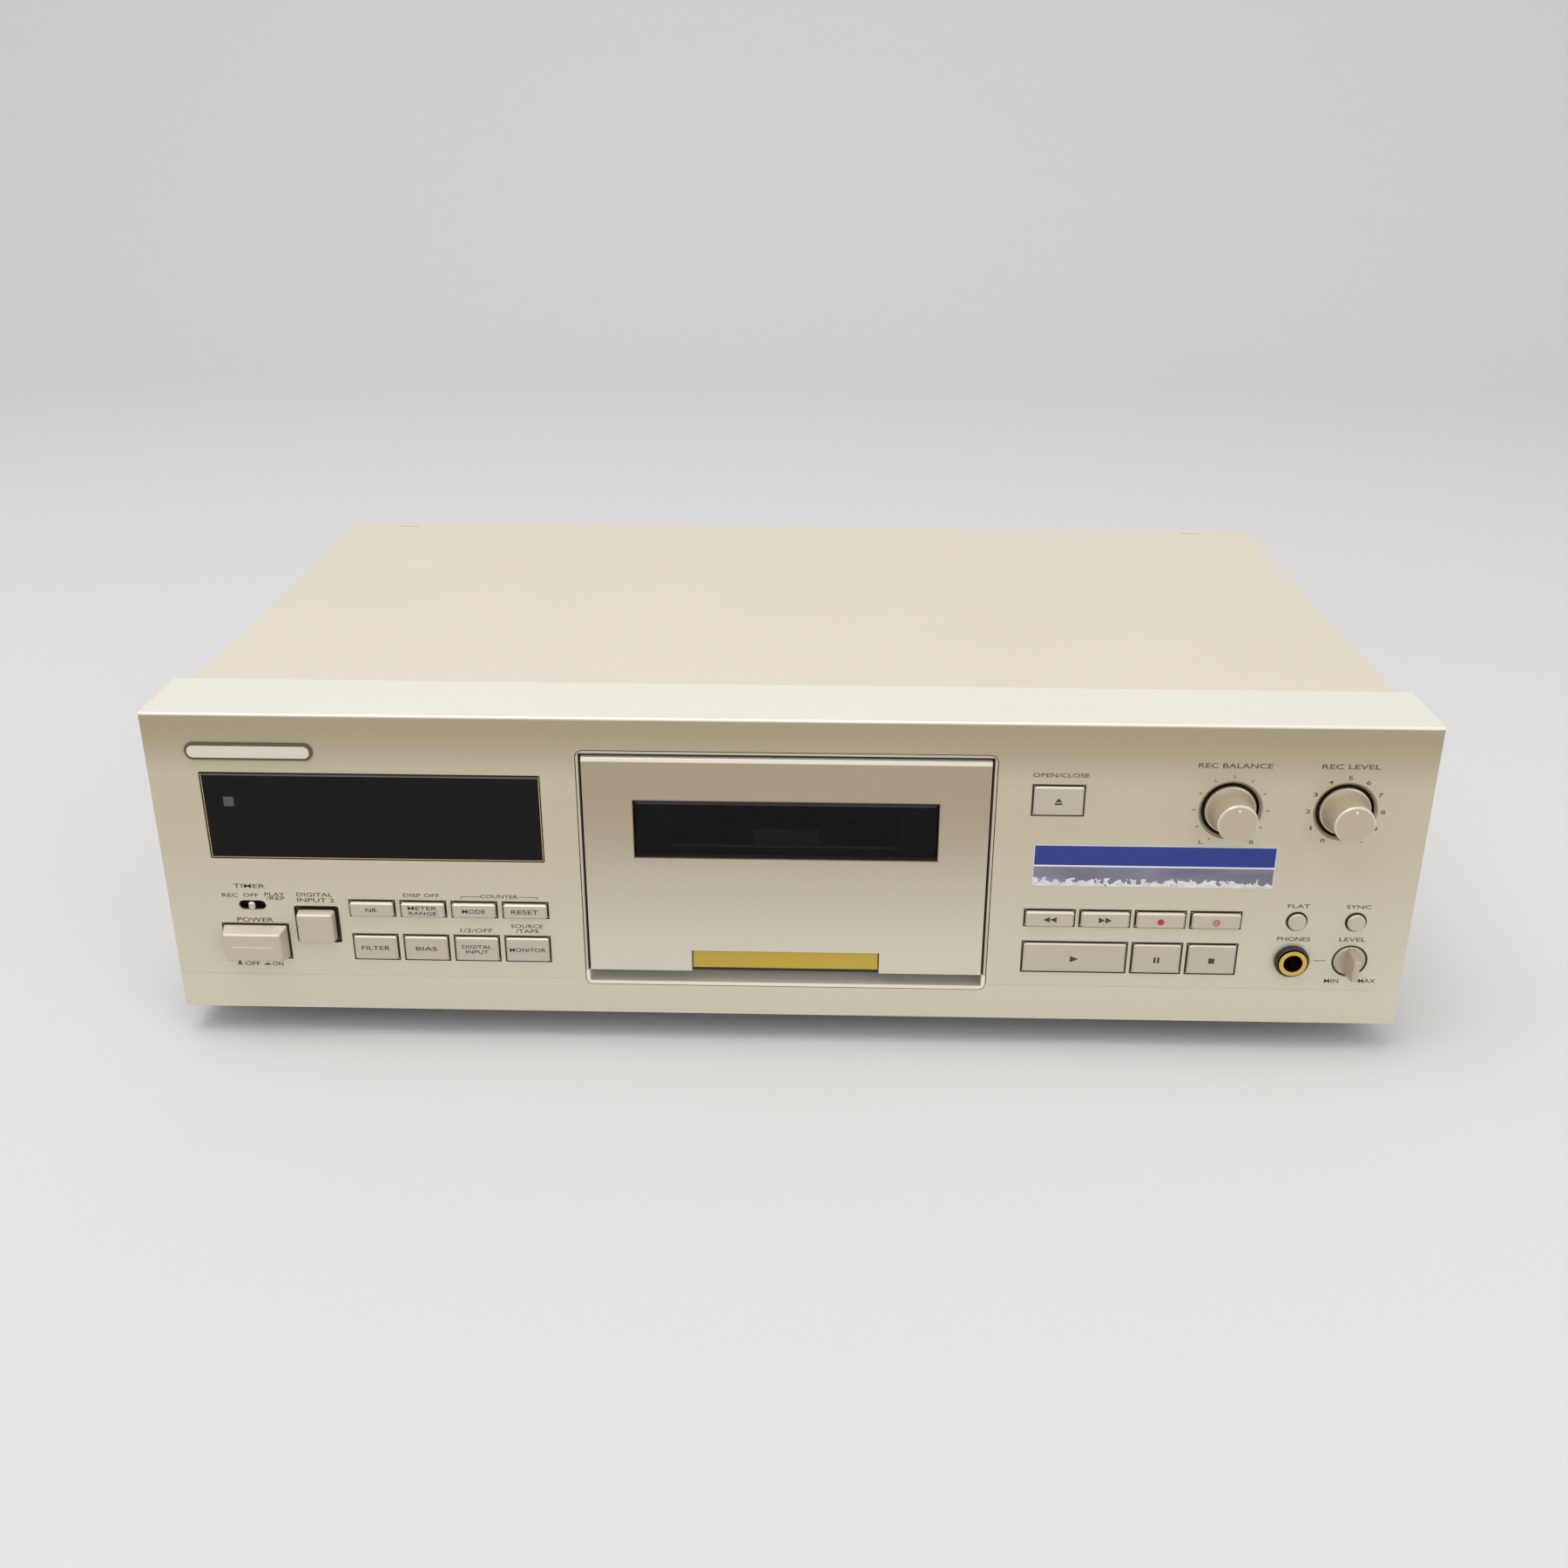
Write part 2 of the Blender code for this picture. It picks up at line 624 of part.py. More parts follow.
def top_cover():
    """Folded sheet: roof and two skirts, a short flange at the back, and two slots."""
    front = face_y(FASCIA_DEPTH + FIT_GAP)
    side = FACE_WIDTH / 2 - COVER_INSET
    top = FACE_TOP - COVER_DROP
    skirt = FACE_LIFT + COVER_SKIRT_GAP
    bm = bmesh.new()
    add_block(bm, (-side, front, skirt), (side, REAR_Y, top), COVER_BEND, segments=ROUND_SEGMENTS)
    bm.normal_update()
    low_edge = skirt + COVER_BEND + FIT_GAP
    gone = [
        f for f in bm.faces
        if abs(f.normal.y) > FACING_COSINE or f.calc_center_bounds().z < low_edge]
    bmesh.ops.delete(bm, geom=gone, context="FACES")
    for vert in bm.verts:
        if vert.co.z < low_edge:
            vert.co.z = skirt
    roof_rear = [e for e in bm.edges if e.is_boundary and all(
        abs(v.co.y - REAR_Y) < FIT_GAP and abs(v.co.z - top) < FIT_GAP / 2 for v in e.verts)]
    flange = bmesh.ops.extrude_edge_only(bm, edges=roof_rear)["geom"]
    for item in flange:
        if isinstance(item, bmesh.types.BMVert):
            item.co.z -= COVER_REAR_FLANGE
    bmesh.ops.recalc_face_normals(bm, faces=bm.faces)
    cover = finish_object("top_cover", bm, "cover")
    sheet = cover.modifiers.new("sheet", "SOLIDIFY")
    sheet.thickness = COVER_SHEET
    sheet.offset = -1
    sheet.use_even_offset = True
    slots = bmesh.new()
    for way in (-1, 1):
        x = way * (side - SLOT_OUT)
        y = REAR_Y - SLOT_FROM_REAR
        low = (x - SLOT_LENGTH / 2, y - SLOT_WIDTH / 2, top - COVER_SHEET - CUT_OVERRUN)
        high = (x + SLOT_LENGTH / 2, y + SLOT_WIDTH / 2, top + CUT_OVERRUN)
        add_block(slots, low, high)
    boolean(cover, finish_object("cover_slots", slots, None, cutter=True))
    return cover


PAN_SIDE = FACE_WIDTH / 2 - COVER_INSET - COVER_SHEET - FIT_GAP
PAN_FRONT_DEPTH = FASCIA_WALL + FIT_GAP
PAN_FLOOR = FACE_LIFT + PAN_LIFT + PAN_SHEET
PAN_REAR_DEPTH = BODY_DEPTH - COVER_SHEET - REAR_SHEET - 2 * FIT_GAP


def tray(name, low, high, sheet, finish):
    """Folded sheet tray, open at the top."""
    bm = bmesh.new()
    add_block(bm, low, high)
    bmesh.ops.delete(bm, geom=[face_towards(bm, (0, 0, 1))], context="FACES")
    made = finish_object(name, bm, finish)
    thick = made.modifiers.new("sheet", "SOLIDIFY")
    thick.thickness = sheet
    thick.offset = -1
    thick.use_even_offset = True
    return made


def chassis_pan():
    low = (-PAN_SIDE, face_y(PAN_FRONT_DEPTH), FACE_LIFT + PAN_LIFT)
    high = (PAN_SIDE, face_y(PAN_REAR_DEPTH), FACE_LIFT + PAN_FLANGE)
    return tray("chassis_pan", low, high, PAN_SHEET, "steel")


REAR_FRONT_DEPTH = BODY_DEPTH - COVER_SHEET - FIT_GAP - REAR_SHEET
REAR_BACK_DEPTH = REAR_FRONT_DEPTH + REAR_SHEET
REAR_TOP = FACE_TOP - COVER_DROP - COVER_SHEET - REAR_TOP_GAP
LINE_JACKS = [
    (JACK_BLOCK_X + across * LINE_JACK_PITCH / 2, FACE_LIFT + JACK_BLOCK_Z + up * LINE_JACK_PITCH / 2)
    for across in (-1, 1) for up in (-1, 1)]


def rear_panel():
    """Sheet across the back, with a hole for each line jack and one for the supply inlet."""
    bm = bmesh.new()
    low = (-PAN_SIDE, face_y(REAR_FRONT_DEPTH), FACE_LIFT + PAN_LIFT)
    add_block(bm, low, (PAN_SIDE, face_y(REAR_BACK_DEPTH), REAR_TOP))
    panel = finish_object("rear_panel", bm, "cover")
    holes = bmesh.new()
    front = face_y(REAR_FRONT_DEPTH - CUT_OVERRUN)
    back = face_y(REAR_BACK_DEPTH + CUT_OVERRUN)
    for x, z in LINE_JACKS:
        add_rod(holes, x, z, LINE_JACK_RADIUS + FIT_GAP, front, back)
    half_width = INLET_WIDTH / 2 + FIT_GAP
    half_height = INLET_HEIGHT / 2 + FIT_GAP
    inlet_z = FACE_LIFT + INLET_Z
    low = (INLET_X - half_width, front, inlet_z - half_height)
    add_block(holes, low, (INLET_X + half_width, back, inlet_z + half_height))
    boolean(panel, finish_object("rear_holes", holes, None, cutter=True))
    return panel


def feet():
    """Four moulded feet, wide at the chassis and drawn in towards the floor."""
    top = FACE_LIFT + PAN_LIFT - FIT_GAP
    profile = [
        (0, top), (FOOT_RADIUS, top), (FOOT_RADIUS, top - FOOT_LIP), (FOOT_WAIST, top - FOOT_LIP),
        (FOOT_FLOOR_RADIUS, 0), (0, 0)]
    mesh = bpy.data.meshes.new("foot")
    links = [(index, index + 1) for index in range(len(profile) - 1)]
    mesh.from_pydata([(radius, 0, z) for radius, z in profile], links, [])
    mesh.materials.append(FINISH["black"])
    rows = (("front", face_y(FOOT_INSET_FRONT)), ("rear", REAR_Y - FOOT_INSET_REAR))
    for row, y in rows:
        for side, way in (("left", -1), ("right", 1)):
            foot = bpy.data.objects.new(f"foot_{row}_{side}", mesh)
            foot.location = (way * (FACE_WIDTH / 2 - FOOT_INSET_X), y, 0)
            screw = foot.modifiers.new("turn", "SCREW")
            screw.axis = "Z"
            screw.steps = TURN_STEPS
            screw.render_steps = TURN_STEPS
            screw.use_merge_vertices = True
            screw.merge_threshold = MERGE_DISTANCE
            PARTS.objects.link(foot)


# Keys, switches and knobs
KEY_BACK = FASCIA_WALL + FIT_GAP


def key_shank(bm, x, z, width, height, front, corner, edge):
    """Rounded shank of a key with its front edges broken; gives back its rear face."""
    low = (x - width / 2, front + edge, z - height / 2)
    high = (x + width / 2, face_y(KEY_BACK), z + height / 2)
    add_block(bm, low, high, corner, segments=1)
    nose = face_towards(bm, (0, -1, 0))
    bmesh.ops.inset_region(bm, faces=[nose], thickness=edge, depth=edge, use_even_offset=True)
    return face_towards(bm, (0, 1, 0))


def key_tail(bm, rear, width, height, flange_sheet, stem, stem_end):
    """Flange that keeps the key behind the fascia, and the stem that works its switch."""
    rim = step_back(bm, rear, KEY_FLANGE, KEY_FLANGE, 0)
    rim = step_back(bm, rim, 0, 0, flange_sheet)
    shrink_x = (stem - width) / 2 - KEY_FLANGE
    shrink_z = (stem - height) / 2 - KEY_FLANGE
    neck = step_back(bm, rim, shrink_x, shrink_z, 0)
    step_back(bm, neck, 0, 0, stem_end - KEY_BACK - flange_sheet)


def push_key(name, x, z, hole_width, hole_height, proud):
    bm = bmesh.new()
    width = hole_width - 2 * KEY_GAP
    height = hole_height - 2 * KEY_GAP
    corner = KEY_CORNER - KEY_GAP
    rear = key_shank(bm, x, z, width, height, face_y(-proud), corner, KEY_EDGE)
    stem_end = FRONT_BOARD_DEPTH - KEY_TRAVEL - FIT_GAP
    key_tail(bm, rear, width, height, KEY_FLANGE_SHEET, KEY_STEM, stem_end)
    return finish_object(name, bm, "key", (x, face_y(0), z))


def power_button():
    """Tall latching button whose nose tapers towards its front."""
    x = POWER_X
    z = FACE_LIFT + POWER_Z
    width = POWER_WIDTH - 2 * KEY_GAP
    height = POWER_HEIGHT - 2 * KEY_GAP
    bm = bmesh.new()
    low = (x - width / 2, face_y(0), z - height / 2)
    high = (x + width / 2, face_y(KEY_BACK), z + height / 2)
    add_block(bm, low, high, KEY_CORNER - KEY_GAP)
    nose = face_towards(bm, (0, -1, 0))
    rear = face_towards(bm, (0, 1, 0))
    nose = step_back(bm, nose, -POWER_TAPER, -POWER_TAPER, KEY_EDGE - POWER_PROUD)
    nose.normal_update()
    bmesh.ops.inset_region(bm, faces=[nose], thickness=KEY_EDGE, depth=KEY_EDGE, use_even_offset=True)
    stem_end = FRONT_BOARD_DEPTH - POWER_TRAVEL - FIT_GAP
    key_tail(bm, rear, width, height, KEY_FLANGE_SHEET, KEY_STEM, stem_end)
    return finish_object("power_button", bm, "key", (x, face_y(0), z))


def timer_switch():
    """Three-way slide: a nub in the slot, on a plate that runs behind the fascia."""
    x = POWER_X
    z = FACE_LIFT + TIMER_Z
    nub_height = TIMER_SLOT_HEIGHT - 2 * FIT_GAP
    bm = bmesh.new()
    low = (x - TIMER_KNOB_LENGTH / 2, face_y(KEY_EDGE - TIMER_KNOB_PROUD), z - nub_height / 2)
    high = (x + TIMER_KNOB_LENGTH / 2, face_y(KEY_BACK), z + nub_height / 2)
    add_block(bm, low, high, KEY_CORNER)
    nose = face_towards(bm, (0, -1, 0))
    bmesh.ops.inset_region(bm, faces=[nose], thickness=KEY_EDGE, depth=KEY_EDGE, use_even_offset=True)
    rear = face_towards(bm, (0, 1, 0))
    plate = step_back(bm, rear, TIMER_SLOT_LENGTH / 2, KEY_FLANGE, 0)
    step_back(bm, plate, 0, 0, KEY_FLANGE_SHEET)
    return finish_object("timer_switch", bm, "key", (x, face_y(0), z))


def digital_input_cap():
    """Hollow pull-off cap over the optical socket."""
    x = CAP_X
    z = FACE_LIFT + CAP_Z
    width = CAP_FRAME_WIDTH - 2 * FIT_GAP
    height = CAP_FRAME_HEIGHT - 2 * FIT_GAP
    bm = bmesh.new()
    low = (x - width / 2, face_y(CAP_RIM), z - height / 2)
    high = (x + width / 2, face_y(FASCIA_WALL), z + height / 2)
    add_block(bm, low, high, KEY_CORNER)
    nose = face_towards(bm, (0, -1, 0))
    nose = step_back(bm, nose, -CAP_RIM, -CAP_RIM, 0)
    nose = step_back(bm, nose, -CAP_TAPER, -CAP_TAPER, KEY_EDGE - CAP_PROUD - CAP_RIM)
    nose.normal_update()
    bmesh.ops.inset_region(bm, faces=[nose], thickness=KEY_EDGE, depth=KEY_EDGE, use_even_offset=True)
    cap = finish_object("digital_input_cap", bm, "key", (x, face_y(0), z))
    hollow = bmesh.new()
    half_width = width / 2 - CAP_RIM - CAP_TAPER - CAP_WALL
    half_height = height / 2 - CAP_RIM - CAP_TAPER - CAP_WALL
    low = (x - half_width, face_y(CAP_WALL - CAP_PROUD), z - half_height)
    add_block(hollow, low, (x + half_width, BACK_CUT, z + half_height))
    boolean(cap, finish_object("cap_hollow", hollow, None, cutter=True))
    return cap


def optical_socket():
    """Square light-link socket that the cap covers, standing on the front board."""
    x = CAP_X
    z = FACE_LIFT + CAP_Z
    half_width = SOCKET_OPENING_WIDTH / 2
    half_height = SOCKET_OPENING_HEIGHT / 2
    bm = bmesh.new()
    low = (x - half_width - SOCKET_WALL, face_y(CAP_RIM), z - half_height - SOCKET_WALL)
    back = face_y(FRONT_BOARD_DEPTH - FIT_GAP)
    add_block(bm, low, (x + half_width + SOCKET_WALL, back, z + half_height + SOCKET_WALL))
    socket = finish_object("optical_socket", bm, "black")
    hole = bmesh.new()
    low = (x - half_width, FRONT_CUT, z - half_height)
    add_block(hole, low, (x + half_width, face_y(CAP_RIM + SOCKET_OPENING_DEPTH), z + half_height))
    boolean(socket, finish_object("socket_mouth", hole, None, cutter=True))
    return socket


def round_key(name, x):
    """Small turned push button with a flange behind the fascia."""
    edge = KEY_EDGE / 2
    flange = ROUND_KEY_RADIUS + KEY_FLANGE
    flange_back = KEY_BACK + KEY_FLANGE_SHEET
    end = FRONT_BOARD_DEPTH - KEY_TRAVEL - FIT_GAP
    profile = [
        (0, -ROUND_KEY_PROUD), (ROUND_KEY_RADIUS - edge, -ROUND_KEY_PROUD),
        (ROUND_KEY_RADIUS, edge - ROUND_KEY_PROUD), (ROUND_KEY_RADIUS, KEY_BACK), (flange, KEY_BACK),
        (flange, flange_back), (KEY_STEM / 2, flange_back), (KEY_STEM / 2, end), (0, end)]
    return turned(name, profile, x, FACE_LIFT + UPPER_ROW_Z, "key")


def knob_hole(name, x, z, radius, ring):
    """Round hole through the fascia with a wide chamfer at its mouth."""
    front = -CUT_OVERRUN
    profile = [
        (0, front), (radius + ring, front), (radius + ring, 0), (radius, ring),
        (radius, FASCIA_WALL + CUT_OVERRUN), (0, FASCIA_WALL + CUT_OVERRUN)]
    return turned(name, profile, x, z, None, FINE_TURN_STEPS, cutter=True)


def flared_knob(name, x):
    """Turned knob: a straight grip that flares in a hollow curve to its base."""
    straight_end = -KNOB_PROUD * (1 - KNOB_STRAIGHT_SHARE)
    profile = [
        (0, -KNOB_PROUD), (KNOB_FRONT_RADIUS - KNOB_EDGE, -KNOB_PROUD),
        (KNOB_FRONT_RADIUS, KNOB_EDGE - KNOB_PROUD)]
    for step in range(KNOB_FLARE_STEPS + 1):
        turn = math.pi / 2 * step / KNOB_FLARE_STEPS
        radius = KNOB_NECK_RADIUS + (KNOB_BASE_RADIUS - KNOB_NECK_RADIUS) * (1 - math.cos(turn))
        profile.append((radius, straight_end * (1 - math.sin(turn))))
    end = FRONT_BOARD_DEPTH - FIT_GAP
    profile += [
        (KNOB_BASE_RADIUS, KNOB_SUNK), (KNOB_STEM_RADIUS, KNOB_SUNK), (KNOB_STEM_RADIUS, end), (0, end)]
    return turned(name, profile, x, KNOB_Z, "key", FINE_TURN_STEPS)


def phones_level_knob():
    """Disc nearly flush with the fascia, with a tapered finger bar across it."""
    end = FRONT_BOARD_DEPTH - FIT_GAP
    profile = [
        (0, -KNOB_EDGE), (PHONES_KNOB_RADIUS - KNOB_EDGE, -KNOB_EDGE), (PHONES_KNOB_RADIUS, 0),
        (PHONES_KNOB_RADIUS, KNOB_SUNK), (KNOB_STEM_RADIUS, KNOB_SUNK), (KNOB_STEM_RADIUS, end), (0, end)]
    knob = turned("phones_level_knob", profile, PHONES_LEVEL_X, PHONES_Z, "key")
    half_bar = PHONES_BAR_WIDTH / 2
    reach = PHONES_KNOB_RADIUS - KNOB_EDGE
    bar = bmesh.new()
    low = (PHONES_LEVEL_X - half_bar, face_y(-KNOB_EDGE), PHONES_Z - reach)
    high = (PHONES_LEVEL_X + half_bar, face_y(KNOB_EDGE), PHONES_Z + reach)
    add_block(bar, low, high)
    nose = face_towards(bar, (0, -1, 0))
    nose = step_back(bar, nose, -KNOB_EDGE / 2, -2 * KNOB_EDGE, 2 * KNOB_EDGE - PHONES_BAR_PROUD)
    nose.normal_update()
    bmesh.ops.inset_region(bar, faces=[nose], thickness=KNOB_EDGE, depth=KNOB_EDGE, use_even_offset=True)
    boolean(knob, finish_object("phones_bar", bar, None, cutter=True), "UNION")
    return knob


def phones_jack():
    """Threaded bush and body of the headphone jack, bored from the front."""
    body_front = FASCIA_WALL + FIT_GAP
    profile = [
        (JACK_BORE, -JACK_RING_PROUD), (JACK_RING_RADIUS, -JACK_RING_PROUD),
        (JACK_RING_RADIUS, body_front + FASCIA_WALL), (JACK_BORE, body_front + FASCIA_WALL)]
    jack = turned("phones_jack", profile, JACK_X, PHONES_Z, "gold")
    half = JACK_BODY_HEIGHT / 2
    body = bmesh.new()
    low = (JACK_X - half, face_y(body_front), PHONES_Z - half)
    add_block(body, low, (JACK_X + half, face_y(JACK_DEPTH), PHONES_Z + half))
    boolean(jack, finish_object("jack_body", body, None, cutter=True), "UNION")
    bore = bmesh.new()
    add_rod(bore, JACK_X, PHONES_Z, JACK_BORE, FRONT_CUT, face_y(JACK_DEPTH - FASCIA_WALL))
    boolean(jack, finish_object("jack_bore", bore, None, cutter=True))
    return jack


def phones_jack_nut():
    """Black ring nut that clamps the jack to the fascia."""
    bore = JACK_RING_RADIUS + FIT_GAP
    edge = KEY_EDGE
    profile = [
        (bore, -JACK_NUT_PROUD), (JACK_NUT_RADIUS - edge, -JACK_NUT_PROUD),
        (JACK_NUT_RADIUS, edge - JACK_NUT_PROUD), (JACK_NUT_RADIUS, -FIT_GAP), (bore, -FIT_GAP)]
    return turned("phones_jack_nut", profile, JACK_X, PHONES_Z, "black")


# Display
def display_window():
    """Smoked block with broken front edges, set in the fascia with a narrow gap."""
    bm = bmesh.new()
    half_width = BAY_WIDTH / 2 - DISPLAY_GAP
    half_height = DISPLAY_HEIGHT / 2 - DISPLAY_GAP
    low = (DISPLAY_X - half_width, face_y(KEY_EDGE), DISPLAY_Z - half_height)
    high = (DISPLAY_X + half_width, face_y(DISPLAY_GLASS), DISPLAY_Z + half_height)
    add_block(bm, low, high)
    nose = face_towards(bm, (0, -1, 0))
    bmesh.ops.inset_region(bm, faces=[nose], thickness=KEY_EDGE, depth=KEY_EDGE, use_even_offset=True)
    return finish_object("display_window", bm, "smoked")


def display_tube():
    """Flat glass envelope of the fluorescent display, between the window and its board."""
    bm = bmesh.new()
    half_width = BAY_WIDTH / 2 - TUBE_MARGIN
    half_height = DISPLAY_HEIGHT / 2 - TUBE_MARGIN
    low = (DISPLAY_X - half_width, face_y(DISPLAY_GLASS + FIT_GAP), DISPLAY_Z - half_height)
    high = (DISPLAY_X + half_width, face_y(FRONT_BOARD_DEPTH - FIT_GAP), DISPLAY_Z + half_height)
    add_block(bm, low, high)
    return finish_object("display_tube", bm, "smoked")


def front_board():
    """Board behind the fascia that carries the switches; it bridges over the well."""
    bm = bmesh.new()
    side = FACE_WIDTH / 2 - FASCIA_WALL - FIT_GAP
    back = face_y(FRONT_BOARD_DEPTH + BOARD_SHEET)
    low = (-side, face_y(FRONT_BOARD_DEPTH), FACE_LIFT + FRONT_BOARD_MARGIN)
    top = FACE_TOP - FASCIA_WALL - 2 * FIT_GAP
    add_block(bm, low, (side, back, top))
    board = finish_object("front_board", bm, "board")
    gaps = bmesh.new()
    front = face_y(FRONT_BOARD_DEPTH - CUT_OVERRUN)
    rear = face_y(FRONT_BOARD_DEPTH + BOARD_SHEET + CUT_OVERRUN)
    half = WELL_WIDTH / 2 + FIT_GAP
    add_block(gaps, (-half, front, FACE_LIFT), (half, rear, WELL_TOP + FIT_GAP))
    jack = JACK_BODY_HEIGHT / 2 + FIT_GAP
    add_block(gaps, (JACK_X - jack, front, PHONES_Z - jack), (JACK_X + jack, rear, PHONES_Z + jack))
    boolean(board, finish_object("board_gaps", gaps, None, cutter=True))
    return board


# Well and door
def cassette_well():
    """Moulded surround of the cassette door, open front and back, with a cove along its sill."""
    side = WELL_WIDTH / 2
    bm = bmesh.new()
    low = (-side, face_y(0), WELL_BOTTOM)
    high = (side, face_y(WELL_DEPTH), WELL_TOP)
    add_block(bm, low, high, WELL_CORNER)
    well = finish_object("cassette_well", bm, "bezel")
    room = bmesh.new()
    wall = WELL_WALL
    low = (-side + wall, face_y(-CUT_OVERRUN), WELL_BOTTOM + wall)
    high = (side - wall, face_y(WELL_DEPTH + CUT_OVERRUN), WELL_TOP - wall)
    add_block(room, low, high, WELL_INNER_CORNER)
    boolean(well, finish_object("well_room", room, None, cutter=True))
    boolean(well, cove_sill(side), "UNION")
    pins = bmesh.new()
    place = Matrix.Translation((0, face_y(HINGE_DEPTH), HINGE_Z)) @ Matrix.Rotation(math.pi / 2, 4, "Y")
    radius = HINGE_PIN_RADIUS + FIT_GAP
    bmesh.ops.create_cone(
        pins, cap_ends=True, segments=TURN_STEPS, radius1=radius, radius2=radius,
        depth=WELL_WIDTH + CUT_OVERRUN, matrix=place)
    boolean(well, finish_object("hinge_holes", pins, None, cutter=True))
    return well


def cove_sill(side):
    """Quarter-hollow moulding along the bottom of the well, for the door's lower edge to swing in."""
    floor = WELL_BOTTOM + WELL_WALL / 2
    top = WELL_BOTTOM + WELL_WALL + COVE_RADIUS
    back = COVE_LIP + COVE_RADIUS + WELL_WALL / 2
    points = [(back, top), (back, floor), (COVE_LIP / 2, floor), (COVE_LIP / 2, WELL_BOTTOM + WELL_WALL)]
    for step in range(COVE_STEPS + 1):
        turn = math.pi / 2 * step / COVE_STEPS
        depth = COVE_LIP + COVE_RADIUS * math.sin(turn)
        points.append((depth, top - COVE_RADIUS * math.cos(turn)))
    bm = bmesh.new()
    inside = side - WELL_WALL / 2
    verts = [bm.verts.new((-inside, face_y(depth), z)) for depth, z in points]
    section = bm.faces.new(verts)
    made = bmesh.ops.extrude_face_region(bm, geom=[section])["geom"]
    for item in made:
        if isinstance(item, bmesh.types.BMVert):
            item.co.x = inside
    bmesh.ops.recalc_face_normals(bm, faces=bm.faces)
    return finish_object("cove_sill", bm, None, cutter=True)


DOOR_SIDE = WELL_WIDTH / 2 - WELL_WALL - DOOR_GAP
DOOR_TOP = WELL_TOP - WELL_WALL - DOOR_GAP
DOOR_BOTTOM = FACE_LIFT + DOOR_BASE
WINDOW_TOP = DOOR_TOP - WINDOW_DROP
WINDOW_BOTTOM = WINDOW_TOP - WINDOW_HEIGHT
HINGE_POINT = (0, face_y(HINGE_DEPTH), HINGE_Z)


def door_panel():
    """Metal face of the door: broad bevel along its top, a window and a notch at its foot."""
    bm = bmesh.new()
    low = (-DOOR_SIDE, face_y(0), DOOR_BOTTOM)
    high = (DOOR_SIDE, face_y(DOOR_SHEET), DOOR_TOP)
    add_block(bm, low, high)
    top_front = [e for e in bm.edges if all(
        abs(v.co.y - low[1]) < FIT_GAP and abs(v.co.z - high[2]) < FIT_GAP for v in e.verts)]
    bmesh.ops.bevel(
        bm, geom=top_front, offset=DOOR_TOP_BEVEL, segments=ROUND_SEGMENTS, profile=0.5, affect="EDGES")
    panel = finish_object("door_panel", bm, "trim")
    holes = bmesh.new()
    half = WINDOW_WIDTH / 2 + FIT_GAP
    front = face_y(-CUT_OVERRUN)
    back = face_y(DOOR_SHEET + CUT_OVERRUN)
    add_block(
        holes, (-half, front, WINDOW_BOTTOM - FIT_GAP), (half, back, WINDOW_TOP + FIT_GAP), WINDOW_CORNER)
    half = NOTCH_WIDTH / 2
    add_block(holes, (-half, front, DOOR_BOTTOM - CUT_OVERRUN), (half, back, FACE_LIFT + NOTCH_TOP))
    boolean(panel, finish_object("door_holes", holes, None, cutter=True))
    return panel


def door_window():
    """Smoked window with a wide bevel round its front."""
    half = WINDOW_WIDTH / 2
    bm = bmesh.new()
    low = (-half, face_y(WINDOW_EDGE / 2), WINDOW_BOTTOM)
    add_block(bm, low, (half, face_y(DOOR_SHEET), WINDOW_TOP))
    nose = face_towards(bm, (0, -1, 0))
    bmesh.ops.inset_region(
        bm, faces=[nose], thickness=WINDOW_EDGE, depth=WINDOW_EDGE / 2, use_even_offset=True)
    return finish_object("door_window", bm, "smoked")


def door_strip():
    """Bare strip that fills the notch at the foot of the door."""
    half = NOTCH_WIDTH / 2 - STRIP_GAP
    top = FACE_LIFT + NOTCH_TOP - STRIP_GAP
    bm = bmesh.new()
    add_block(bm, (-half, face_y(STRIP_RECESS), top - STRIP_HEIGHT), (half, face_y(DOOR_SHEET), top))
    return finish_object("door_strip", bm, "gold")


HOLDER_FRONT = DOOR_SHEET + FIT_GAP
HOLDER_SIDE = CASSETTE_WIDTH / 2 + POCKET_GAP / 2


